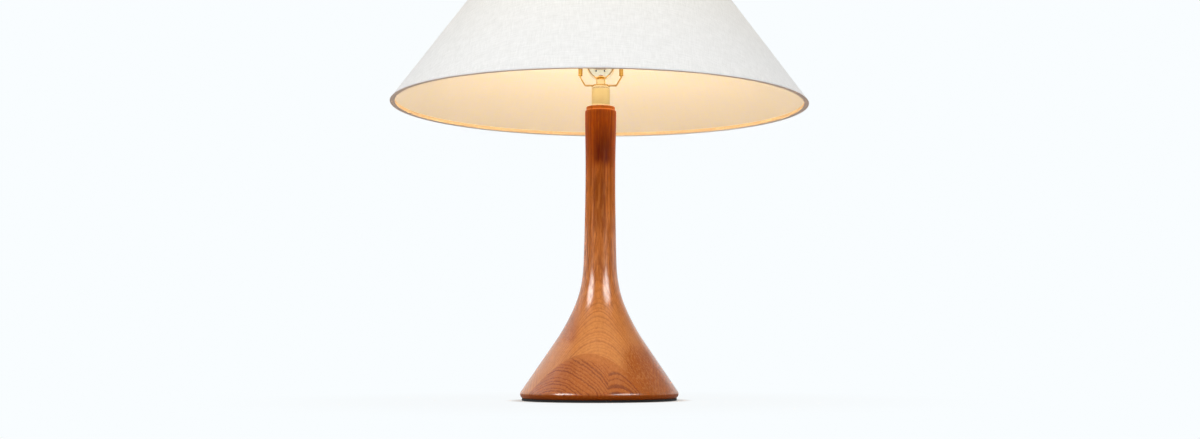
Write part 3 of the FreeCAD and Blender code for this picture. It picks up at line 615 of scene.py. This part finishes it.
zinc = Finish("zinc plate", Metallic=1.0)
cloudy = zinc.place.noise(420, 3)
brushed = zinc.place.noise((300, 300, 9000), 2)
zinc.vary(Base_Color=cloudy.tint((0.46, 0.48, 0.50, 1), (0.66, 0.67, 0.68, 1)),
          Roughness=0.28 + cloudy * 0.22 + brushed * 0.08)
zinc.bump(brushed, 0.00002)
rod_side = [(5.05, 8.2 + 0.25 * step) for step in range(60)]
rod = turned("threaded_rod_steel", [(4.85, 8.0)] + rod_side + [
    (5.05, 381.5), (3.45, 381.5), (3.45, 8.0), (4.85, 8.0)], zinc, 48,
    thread_pitch=0.00094, thread_depth=-0.0003, thread_from=0.0084, thread_to=0.0225)
fit(rod, "lamp_base", "zinc_steel", "threaded_rod")
for part, easing in (("clamp_washer", 0.00025), ("lock_washer", 0.00015), ("rod_nut", 0.0003)):
    fit_eased("lamp_base", "zinc_steel", part, f"{part}_steel", zinc, easing)


# The cord outlet: a moulded bushing of black plastic, pushed into the back of the foot, so that a
# cord can leave the recess without touching the wood.
plastic = Finish("black moulded plastic", Specular_IOR_Level=0.45)
grain = plastic.place.noise(5200, 2)
handled = plastic.place.noise(160, 3)
plastic.vary(Base_Color=handled.tint((0.008, 0.008, 0.009, 1), (0.018, 0.018, 0.019, 1)),
             Roughness=0.30 + grain * 0.12 + handled * 0.10)
plastic.bump(grain, 0.00003)
fit_eased("lamp_base", "black_plastic", "cord_outlet_bushing", "cord_outlet_bushing_black",
          plastic, 0.0004, 3)


# The neck: a satin brass tube between two turned rings, clamped on the wood by the rod. Its face
# keeps the fine rings of the turning tool. The rings are painted a brighter brass: a painted
# reflection of the light round them.
def brass(name, roughness, lines, darker=(0.50, 0.31, 0.07, 1), lighter=(0.80, 0.55, 0.18, 1),
          edge=(1, 1, 1, 1)):
    finish = Finish(name, Metallic=1.0, Specular_Tint=edge)
    cut = finish.place.noise((30, 30, 5200), 3)
    age = finish.place.noise((230, 230, 92), 4)
    shade = (age * 0.6 + cut * lines).rise(0.15, 0.75)
    finish.vary(Base_Color=shade.tint(darker, lighter),
                Roughness=roughness + age * 0.08 + cut * lines * 0.12)
    finish.bump(cut, 0.00003 * lines)
    return finish


satin = brass("satin brass", 0.26, 0.9, (0.79, 0.65, 0.33, 1), (0.93, 0.81, 0.46, 1),
              (0.50, 0.36, 0.20, 1))
polished = brass("polished brass", 0.07, 0.25)
# Polished brass painted lighter and paler, a painted reflection, for the neck's rings and the
# holder's bowl.
painted_bright_brass = brass("polished brass painted bright", 0.08, 0.25, (0.86, 0.72, 0.46, 1),
                   (0.96, 0.88, 0.68, 1))
lower_ring = turned("neck_foot_ring_brass", rounded([
    (5.1, 348.8), (11.2, 348.8), (11.2, 351.2), (9.75, 351.2), (9.75, 352.7), (5.1, 352.7)],
    0.35), painted_bright_brass, 128)
fit(lower_ring, "lamp_base", "polished_brass", "neck_foot_ring")
tube = turned("satin_neck_tube", rounded([
    (9.8, 351.2), (10.8, 351.2), (10.8, 370.2), (9.8, 370.2)], 0.3), satin, 128)
fit(tube, "lamp_base", "satin_brass", "brass_neck")
upper_ring = turned("neck_top_ring_brass", rounded([
    (5.1, 368.7), (9.75, 368.7), (9.75, 370.2), (11.1, 370.2), (11.1, 370.7), (9.75, 370.7),
    (9.75, 371.5), (11.2, 371.5), (11.2, 373.4), (9.6, 373.4), (9.6, 374.0),
    (5.1, 374.0)], 0.25), painted_bright_brass, 128)
fit(upper_ring, "lamp_base", "polished_brass", "neck_top_ring")


# The harp saddle: a brass strip bent up at both ends, threaded on the rod under the lamp holder,
# with a pin at each tip that the harp's bored legs slip over.
fit_eased("lamp_base", "polished_brass", "harp_saddle", "harp_saddle_strip", polished, 0.0003, 3)


# The lamp holder's outside: a spun and polished brass bowl with a hub that screws on the rod, held
# by a small steel screw, and a straight shell pressed into its rim.
bowl_outside = arc_through((5.9, 381.6), (11.4, 385.4), (16.8, 398.5), 20)
bowl_inside = arc_through((5.7, 382.4), (10.6, 386.1), (16.0, 398.5), 20)
# The bowl takes the brighter painted brass: a painted reflection of the white below it.
bowl = turned("socket_cap_bowl", (
    [(5.1, 375.4), (5.7, 375.4), (5.9, 375.6)] + bowl_outside
    + [(16.8, 405.6), (16.7, 405.9), (16.4, 406.0), (16.1, 405.9), (16.0, 405.6)]
    + bowl_inside[::-1] + [(5.1, 382.4), (5.1, 375.4)]), painted_bright_brass, 160)
bowl = drilled(bowl, 0.00145, (0, 0.003, 0.3785), (0, 0.008, 0.3785))
for aside in (-0.0050, 0.0050):
    bowl = drilled(bowl, 0.0010, (aside, -0.007, 0.3902), (aside, -0.020, 0.3902))
fit(bowl, "lamp_base", "polished_brass", "socket_cap")
fit_eased("lamp_base", "zinc_steel", "cap_set_screw", "cap_set_screw_steel", zinc, 0.0002)
shell_outline = [(15.9, 399.5), (15.9, 439.0), (15.9, 440.0), (16.2, 440.2), (16.4, 440.6),
                 (16.4, 440.9), (16.2, 441.3), (15.9, 441.5), (15.9, 442.2), (15.9, 445.4),
                 (15.75, 445.9), (15.5, 446.0), (15.4, 445.8), (15.4, 399.5), (15.9, 399.5)]
shell = turned("socket_shell_brass", shell_outline, polished, 128)
switch_height = 0.411
switch_hole = 0.0033, (0, -0.019, switch_height), (0, -0.001, switch_height)
shell = drilled(shell, *switch_hole)
fit(shell, "lamp_base", "polished_brass", "socket_shell")


# Inside the holder: a fibre sleeve that insulates the shell, the moulded block with the terminals
# and the switch chamber, and the thin threaded cup and spring contact that take the bulb.
fibre_card = Finish("vulcanised fibre", Roughness=0.75)
pressed = fibre_card.place.noise((900, 900, 260), 3)
fibre_card.vary(Base_Color=pressed.tint((0.50, 0.42, 0.30, 1), (0.68, 0.60, 0.46, 1)))
fibre_card.bump(pressed, 0.00006)
sleeve = turned("insulating_sleeve_fibre", rounded([
    (14.7, 399.5), (15.3, 399.5), (15.3, 445.0), (14.7, 445.0)], 0.15, 2), fibre_card, 96)
sleeve = drilled(sleeve, *switch_hole)
fit(sleeve, "lamp_base", "fibre_sleeve", "insulating_sleeve")
fit_eased("lamp_base", "black_plastic", "socket_core", "socket_core_moulding", plastic, 0.0003)
fit_eased("lamp_base", "polished_brass", "terminal_screws", "terminal_screw_pair",
          polished, 0.0002)
cup_wall = [(13.6, 425.2 + 0.45 * step) for step in range(39)]
cup = turned("screw_shell_brass", (
    [(5.5, 424.0), (13.4, 424.0), (13.8, 424.4)] + [(r + 0.2, z) for r, z in cup_wall]
    + [(13.8, 443.0), (13.4, 443.0)] + [(r - 0.2, z) for r, z in cup_wall[::-1]]
    + [(13.4, 424.6), (5.5, 424.6), (5.5, 424.0)]), polished, 96,
    thread_pitch=0.0036, thread_depth=0.0005, thread_from=0.4262, thread_to=0.4415)
fit(cup, "lamp_base", "polished_brass", "screw_shell")
spring = turned("centre_contact_brass", [(0, 424.0), (3.3, 424.0), (3.45, 424.3)] + arc_through(
    (3.4, 424.6), (2.6, 425.95), (0, 426.4), 8), polished, 48)
fit(spring, "lamp_base", "polished_brass", "centre_contact")


# The turn switch: a brass bushing through the shell, a steel shaft that turns an insulated cam in
# the block, and a small black knob with flutes for the fingers.
fit_eased("lamp_base", "polished_brass", "switch_bushing", "switch_bushing_brass",
          polished, 0.0002)
fit_eased("turn_switch", "black_plastic", "switch_rotor", "switch_rotor_moulding", plastic, 0.0003)
fit_eased("turn_switch", "zinc_steel", "switch_shaft", "switch_shaft_steel", zinc, 0.0002)
outward = Matrix.Translation((0, 0, switch_height)) @ Matrix.Rotation(math.radians(90), 4, "X")
knob_top = arc_through((4.8, 33.1), (4.45, 33.95), (3.6, 34.3), 5)
knob_side = [(4.8, 20.8 + 0.35 * step) for step in range(36)]
flutes = 18
knob = turned("switch_knob_black", (
    [(0, 26.05), (1.65, 26.05), (1.65, 20.3), (4.5, 20.3), (4.8, 20.6)] + knob_side + knob_top
    + [(2.6, 34.3), (2.4, 34.1), (0, 34.1)]), plastic, flutes * 16, outward,
    flutes=flutes, flute_depth=0.00045, flutes_from=0.0208, flutes_to=0.0313)
fit(knob, "turn_switch", "black_plastic", "switch_knob")


# The bulb: a screw cap of nickel-plated brass, a ring of black glass with the centre contact, and
# a pear of inside-frosted glass that glows warm. A pressed stem carries the filament in it.
def arc_about(radius, height, reach, degrees):
    """Points of an outline round the one at this radius and height, from the outside upward."""
    return [(radius + reach * math.cos(math.radians(turn)),
             height + reach * math.sin(math.radians(turn))) for turn in degrees]


nickel = Finish("nickel plate", Metallic=1.0)
dulled = nickel.place.noise(600, 3)
nickel.vary(Base_Color=dulled.tint((0.55, 0.52, 0.46, 1), (0.72, 0.69, 0.62, 1)),
            Roughness=0.22 + dulled * 0.20)
cap_wall = [(12.7, 433.0 + 0.3 * step) for step in range(66)]
cap = turned("bulb_cap_nickel", (
    [(0, 432.4), (12.35, 432.4), (12.6, 432.6)] + cap_wall + [(12.7, 453.4), (12.35, 453.4)]
    + [(12.35, z) for r, z in cap_wall[::-4]] + [(0, 432.75)]), nickel, 96,
    thread_pitch=0.0036, thread_depth=0.0004, thread_from=0.4336, thread_to=0.4490)
fit(cap, "bulb", "nickel_cap", "bulb_cap")
vitrite = Finish("black glass", Roughness=0.12)
vitrite.vary(Base_Color=vitrite.place.noise(900, 2).tint((0.006, 0.006, 0.010, 1),
                                                         (0.020, 0.018, 0.026, 1)))
button = turned("bulb_insulator_glass", [
    (0, 428.2), (3.9, 428.2), (4.4, 428.4), (7.4, 430.3), (10.2, 432.1), (10.5, 432.4),
    (0, 432.4)], vitrite, 64)
fit(button, "bulb", "black_glass", "bulb_insulator")
solder = turned("bulb_contact_solder", [(0, 426.7), (1.2, 426.92), (2.1, 427.4), (2.6, 428.0),
                                        (2.7, 428.2), (0, 428.2)], zinc, 48)
fit(solder, "bulb", "zinc_steel", "bulb_contact")
frosted = Finish("glowing frosted glass", Roughness=0.35, Emission_Strength=25.0)
etched = frosted.place.noise(1800, 2)
_, _, bulb_height = frosted.place.xyz()
hot = bulb_height.rise(0.452, 0.490) * bulb_height.rise(0.535, 0.505)
frosted.vary(Base_Color=etched.tint((0.90, 0.90, 0.88, 1), (0.97, 0.97, 0.95, 1)),
             Emission_Color=(0.25 + 0.75 * hot).rise(0, 1).tint((0.55, 0.36, 0.18, 1),
                                                                (1.0, 0.83, 0.60, 1)))
frosted.bump(etched, 0.00003)
bulb_radius, bulb_middle, glass_wall = 30.0, 497.4, 0.8
outer = [(12.3, 447.4), (12.3, 453.4)] + through(
    [(12.3, 453.4), (19.5, 469.4), (bulb_radius, bulb_middle)], 0, 0, 12)[1:]
outer += arc_about(0, bulb_middle, bulb_radius, range(5, 90, 5)) + [(0, bulb_middle + bulb_radius)]
inner = [(max(r - glass_wall, 0), z - glass_wall * max(z - bulb_middle, 0) / bulb_radius)
         for r, z in outer]
glass = turned("bulb_glass_frosted", outer + inner[::-1], frosted, 96)
fit(glass, "bulb", "frosted_glass", "bulb_glass")
clear = Finish("clear glass", Roughness=0.05, Transmission_Weight=0.9, IOR=1.5)
clear.vary(Base_Color=clear.place.noise(300, 1).tint((0.92, 0.95, 0.93, 1), (0.98, 0.99, 0.98, 1)))
stem = turned("bulb_stem_glass", rounded([
    (0, 447.4), (11.4, 447.4), (11.4, 448.9), (3.5, 448.9), (3.5, 478.9), (0, 478.9)], 0.5),
    clear, 48)
fit(stem, "bulb", "clear_glass", "bulb_stem")
tungsten = Finish("hot filament", Roughness=0.4, Metallic=1.0, Emission_Strength=40.0)
tungsten.vary(Base_Color=tungsten.place.noise(900, 2).tint((0.30, 0.28, 0.26, 1),
                                                          (0.42, 0.40, 0.38, 1)),
              Emission_Color=tungsten.place.noise(500, 1).tint((1, 0.62, 0.28, 1),
                                                               (1, 0.74, 0.42, 1)))
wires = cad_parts["bulb_filament"]
wires.data.materials.clear()
wires.data.materials.append(tungsten.material)


# The harp: a loop of brass wire that springs wide around the bulb and carries the shade on the
# stud at its top. Its bored ends slip over the saddle's pins, under two sliding sleeves.
def wire_tree():
    """Rounds the corners of a path, each by its own bend, and gives it a round section."""
    tree = new_tree("bent from wire", (
        ("Wire radius", "Float"), ("Sides", "Int"), ("Bend steps", "Int"),
        ("Copies", "Int"), ("Material", "Material")))
    given = source(tree, "NodeGroupInput", 0)
    bend = source(tree, "GeometryNodeInputNamedAttribute", 0)
    bend.socket.node.inputs["Name"].default_value = "bend"
    path = given.node("GeometryNodeMeshToCurve", None, {0: given})
    path = path.node("GeometryNodeFilletCurve", {"mode": "POLY"}, {
        "Curve": path, "Radius": bend, "Count": given.other("Bend steps"), "Limit Radius": True})
    section = given.node("GeometryNodeCurvePrimitiveCircle", None, {
        "Resolution": given.other("Sides"), "Radius": given.other("Wire radius")})
    wire = path.node("GeometryNodeCurveToMesh", None, {
        "Curve": path, "Profile Curve": section, "Fill Caps": True})
    spots = given.node("GeometryNodeMeshLine", {"mode": "OFFSET"}, {
        "Count": given.other("Copies"), "Offset": (0, 0, 0)})
    share = source(tree, "GeometryNodeInputIndex", 0) / given.other("Copies") * math.tau
    turn = given.node("ShaderNodeCombineXYZ", None, {"Z": share})
    wire = spots.node("GeometryNodeInstanceOnPoints", None, {
        "Points": spots, "Instance": wire, "Rotation": turn})
    end_tree(wire, given)
    return tree


bending = wire_tree()


def bent_wire(name, corners, bends, radius, finish, sides=24, copies=1, steps=14):
    """A wire along corners in millimetres, each inner corner rounded by its bend."""
    path = bpy.data.meshes.new(name)
    path.from_pydata([(x * mm, y * mm, z * mm) for x, y, z in corners],
                     [(i, i + 1) for i in range(len(corners) - 1)], [])
    path.attributes.new("bend", "FLOAT", "POINT")
    path.attributes["bend"].data.foreach_set("value", [b * mm for b in (0, *bends, 0)])
    return grow(name, path, bending, {
        "Wire radius": radius, "Sides": sides, "Bend steps": steps, "Copies": copies,
        "Material": finish.material})


right = [(24.5, 0, 387.35), (24.5, 0, 426.65), (46.0, 0, 472.65), (27.0, 0, 563.9)]
left = [(-x, y, z) for x, y, z in right[::-1]]
loop = bent_wire("harp_wire_loop", right + left, (60, 80, 24, 24, 80, 60), 0.0019, polished,
                 32, 1, 24)
legs = ("left", -0.0245), ("right", 0.0245)
for _, reach in legs:
    loop = drilled(loop, 0.0013, (reach, 0, 0.3860), (reach, 0, 0.39585))
fit(loop, "harp", "polished_brass", "harp_wire")
for side, reach in legs:
    ferrule = turned(f"harp_ferrule_{side}_brass", [
        (2.0, 386.8), (2.1, 386.7), (2.6, 386.7), (2.7, 386.8), (2.7, 387.5), (2.55, 387.8),
        (2.55, 397.2), (2.7, 397.5), (2.7, 398.5), (2.6, 398.7), (2.1, 398.7), (2.0, 398.6),
        (2.0, 386.8)], polished, 48, Matrix.Translation((reach, 0, 0)))
    fit(ferrule, f"ferrule_{side}", "polished_brass", f"harp_ferrule_{side}")
fit_eased("harp", "polished_brass", "harp_stud", "harp_stud_brass", polished, 0.0003)


# The shade's frame: white coated steel wire. A ring at the rim and one at the top are glued inside
# the linen, and three arms drop from the top ring to a hub that sits on the harp's stud.
coated = Finish("white coated wire", Specular_IOR_Level=0.5)
dipped = coated.place.noise(700, 2)
coated.vary(Base_Color=dipped.tint((0.70, 0.68, 0.62, 1), (0.82, 0.80, 0.75, 1)),
            Roughness=0.30 + dipped * 0.15)
coated.bump(dipped, 0.00005)
rim_ring, top_ring = 244.272, 73.032
ring_wire = 1.1
full_turn = np.linspace(0, 360, 17)
lower_wire = turned("shade_bottom_wire_ring", arc_about(rim_ring, 350.95, ring_wire, full_turn),
                    coated, 320)
fit(lower_wire, "shade", "frame_wire", "shade_bottom_wire")
arms = bent_wire("spider_arms", [(0, 10.2, 568.95), (0, top_ring, 568.95),
                                 (0, top_ring, 584.3)], (6,), 0.0010, coated, 20, 3)
ring = turned("spider_ring", arc_about(top_ring, 584.55, ring_wire, full_turn), coated, 192)
hub = turned("spider_hub", rounded([(3.4, 568.2), (11.0, 568.2), (11.0, 569.7), (3.4, 569.7)],
                                   0.35), coated, 96)
frame_parts = bmesh.new()
for part in (arms, ring, hub):
    frame_parts.from_mesh(part.data)
    bpy.data.objects.remove(part)
spider_mesh = bpy.data.meshes.new("spider")
frame_parts.to_mesh(spider_mesh)
frame_parts.free()
spider_mesh.materials.append(coated.material)
spider = finished("spider_wire_frame", spider_mesh)
fit(spider, "shade", "frame_wire", "spider_frame")


# The liner: smooth cream styrene, laminated to the inside of the linen. The bulb lights it, and a
# painted glow in its emission, warmer towards the top, adds to the warm light inside the rim.
rim_radius, top_radius = 248.5, 75.5
shade_low, shade_high = 349.75, 585.75
slope = (rim_radius - top_radius) / (shade_high - shade_low)
level_factor = math.sqrt(1 + slope * slope)


def wall_radius(depth, height):
    """Radius of the cone, at a depth in millimetres inward from the linen's face."""
    return rim_radius - slope * (height - shade_low) - depth * level_factor


def cone_wall(face, back, rows):
    """The outline of a wall between two depths, in rows from the rim to the top."""
    heights = [shade_low + (shade_high - shade_low) * row / rows for row in range(rows + 1)]
    wall = [(wall_radius(face, height), height) for height in heights]
    wall += [(wall_radius(back, height), height) for height in heights[::-1]]
    return wall + wall[:1]


def unrolled(piece):
    """A UV map in metres on the flat cut, so that the threads run straight in the cloth."""
    mesh = piece.data
    layer = mesh.uv_layers.new(name="flat cloth")
    share = slope / level_factor
    flat = np.zeros((len(mesh.loops), 2), np.float32)
    for face in mesh.polygons:
        spots = [mesh.vertices[index].co for index in face.vertices]
        turns = [(corner, at, math.atan2(at.x, -at.y))
                 for corner, at in zip(face.loop_indices, spots)]
        wide = max(turn for _, _, turn in turns) - min(turn for _, _, turn in turns) > math.pi
        for corner, at, turn in turns:
            if wide and turn < 0:
                turn += math.tau
            along = math.hypot(at.x, at.y) / share
            flat[corner] = along * math.sin(turn * share), along * math.cos(turn * share)
    layer.data.foreach_set("uv", flat.ravel())


cream = Finish("cream styrene liner", Roughness=0.55, Specular_IOR_Level=0.3,
               Emission_Strength=0.185)
behind_it = source(cream.tree, "ShaderNodeUVMap", 0, {"uv_map": "flat cloth"})
haze = (cream.place.noise(26, 2) * 0.4 + behind_it.noise((60, 640, 1), 2) * 0.8
        + behind_it.noise((640, 60, 1), 2) * 0.8 - 0.5)
_, _, up = cream.place.xyz()
cream.vary(Base_Color=haze.rise(0.1, 0.9).tint((0.86, 0.83, 0.74, 1), (0.98, 0.965, 0.90, 1)),
           Emission_Color=up.rise(0.35, 0.50).tint((0.91, 0.82, 0.62, 1), (0.99, 0.86, 0.62, 1)))
cream.bump(cream.place.noise(900, 2), 0.00003)
liner = turned("shade_liner_cream", cone_wall(1.0, 1.5, 24), cream, 256)
unrolled(liner)
fit(liner, "shade", "liner", "shade_liner")


# The shade's wall: natural linen in a plain weave with slubs, cut as one sector of a circle, glued
# round the liner, and lapped in one upright seam at the back.
def linen_finish(name):
    """Woven flax: two sets of uneven threads, with thicker slubs here and there."""
    # A faint emission, whose colour is set where the finish is used, paints the bulb's glow
    # through the cloth.
    finish = Finish(name, Roughness=0.92, Sheen_Weight=0.25, Sheen_Roughness=0.5,
                    Specular_IOR_Level=0.2, Emission_Strength=0.10)
    cloth = source(finish.tree, "ShaderNodeUVMap", 0, {"uv_map": "flat cloth"})
    u, v, _ = cloth.xyz()
    pitch = 0.00062
    weft_noise = cloth.noise((90, 1500, 1), 2)
    warp_noise = cloth.noise((1500, 90, 1), 2)
    weft_band = cloth.noise((55, 520, 1), 3)
    warp_band = cloth.noise((520, 55, 1), 3)
    weft = ((v + (weft_noise - 0.5) * 0.0004) / pitch * math.tau).math("SINE") * 0.5 + 0.5
    warp = ((u + (warp_noise - 0.5) * 0.0004) / pitch * math.tau).math("SINE") * 0.5 + 0.5
    over = (((u / pitch).math("FLOOR") + (v / pitch).math("FLOOR")) % 2.0)
    weave = over * weft + (1 - over) * warp
    slub = (weft_band.rise(0.35, 0.75) + warp_band.rise(0.35, 0.75)) * 0.5
    threads = (weft_noise.rise(0.3, 0.7) + warp_noise.rise(0.3, 0.7)) * 0.5
    mottle = cloth.noise(130, 3)
    shade = (0.34 * threads + 0.30 * slub + 0.14 * weave + 0.30 * mottle).rise(0.10, 0.90)
    finish.bump(weave * 0.6 + slub * 0.4 + threads * 0.3, 0.00022)
    return finish, shade


linen, woven = linen_finish("natural linen")
_, _, cloth_up = linen.place.xyz()
# Painted glow: cool low on the wall, warm towards the top where the bulb shines through.
painted_glow_warmth = cloth_up.rise(0.36, 0.50)
# Painted shade along the lowest two millimetres of the wall, where the cloth turns under the ring.
painted_fold_shade = cloth_up.rise(0.3522, 0.3500) * 0.5
linen.vary(
    Base_Color=painted_fold_shade.tint(woven.tint((0.68, 0.658, 0.62, 1), (0.83, 0.807, 0.772, 1)),
                         (0.50, 0.50, 0.52, 1)),
    Emission_Color=painted_glow_warmth.tint((0.70, 0.82, 1.0, 1), (1.0, 0.86, 0.62, 1)))
wall = turned("shade_linen_wall", cone_wall(0.0, 0.9, 40), linen, 288)
lapped = bmesh.new()
lapped.from_mesh(wall.data)
for vertex in lapped.verts:
    outward_radius = math.hypot(vertex.co.x, vertex.co.y)
    if outward_radius * 1000 < wall_radius(0.45, vertex.co.z * 1000):
        continue
    turn = math.atan2(vertex.co.x, -vertex.co.y)
    ripple = 0.00012 * math.sin(turn * 17 + vertex.co.z * 40) * math.sin(vertex.co.z * 61 + turn)
    from_seam = (math.pi - abs(turn)) * outward_radius
    lap = 0.0004 if turn > 0 and from_seam < 0.012 else 0.0
    vertex.co += Vector((vertex.co.x, vertex.co.y, 0)).normalized() * (ripple + lap - 0.0001)
lapped.to_mesh(wall.data)
lapped.free()
unrolled(wall)
fit(wall, "shade", "linen", "shade_linen")


# The hems: the linen's edges, turned over the rings and glued down inside. Inside, the lower one
# shows as an amber band inside the far rim: its amber colour is partly the glue and partly painted
# bulb light, and a painted amber glow in its emission stands for the light through it. Outside its
# painted glow is faint and cool.
hem_cloth, hem_shade = linen_finish("linen hem")
hem_inner = rim_ring - 1.2
hem_x, hem_y, hem_z = hem_cloth.place.xyz()
inside = hem_z.rise(0.34945, 0.34975) * (hem_x * hem_x + hem_y * hem_y).rise(0.0603, 0.0599)
hem_cloth.vary(Base_Color=inside.tint((0.80, 0.77, 0.75, 1), hem_shade.tint(
    (0.90, 0.66, 0.38, 1), (0.96, 0.76, 0.50, 1))),
    Emission_Color=inside.tint((0.8, 0.9, 1.0, 1), (1.0, 0.66, 0.32, 1)))
lower_hem = turned("bottom_hem_linen", [
    (248.5, 349.70), (248.45, 349.45), (248.2, 349.3), (246.0, 349.3), (244.0, 349.3),
    (hem_inner - 0.2, 349.35), (hem_inner - 0.4, 349.6), (hem_inner - 0.4, 351.5),
    (hem_inner - 0.4, 353.3), (hem_inner - 0.2, 353.6), (hem_inner, 353.4), (hem_inner, 351.5),
    (hem_inner, 349.75), (244.3, 349.70), (246.5, 349.70), (248.5, 349.70)], hem_cloth, 288)
unrolled(lower_hem)
fit(lower_hem, "shade", "linen_hem", "bottom_hem")
top_inner = top_ring - 1.2
upper_hem = turned("top_hem_linen", [
    (75.5, 585.8), (75.5, 586.0), (75.3, 586.2), (73.5, 586.2), (top_inner - 0.2, 586.15),
    (top_inner - 0.4, 585.9), (top_inner - 0.4, 583.7), (top_inner - 0.2, 583.5),
    (top_inner, 583.7), (top_inner, 585.8), (73.5, 585.8), (75.5, 585.8)], linen, 192)
unrolled(upper_hem)
fit(upper_hem, "shade", "linen_hem", "top_hem")


# The finial: a turned and polished brass knob, bored to screw down on the stud over the hub.
ball_radius, ball_middle = 9.0, 592.74
ball = arc_about(0, ball_middle, ball_radius, range(-54, 90, 6))
finial = turned("finial_knob_brass", (
    [(3.2, 570.0), (5.9, 570.0), (6.3, 570.2), (6.5, 570.7), (6.5, 572.2), (6.3, 572.8),
     (5.8, 573.0), (5.1, 573.3), (4.7, 574.0), (4.5, 575.5), (4.4, 579.0), (4.5, 581.6),
     (4.75, 582.1), (4.75, 583.0), (4.6, 583.5), (4.7, 584.4)] + ball
    + [(0, ball_middle + ball_radius), (0, 583.5), (2.9, 583.5), (3.2, 583.2), (3.2, 570.0)]),
    polished, 128)
fit(finial, "finial", "polished_brass", "finial")
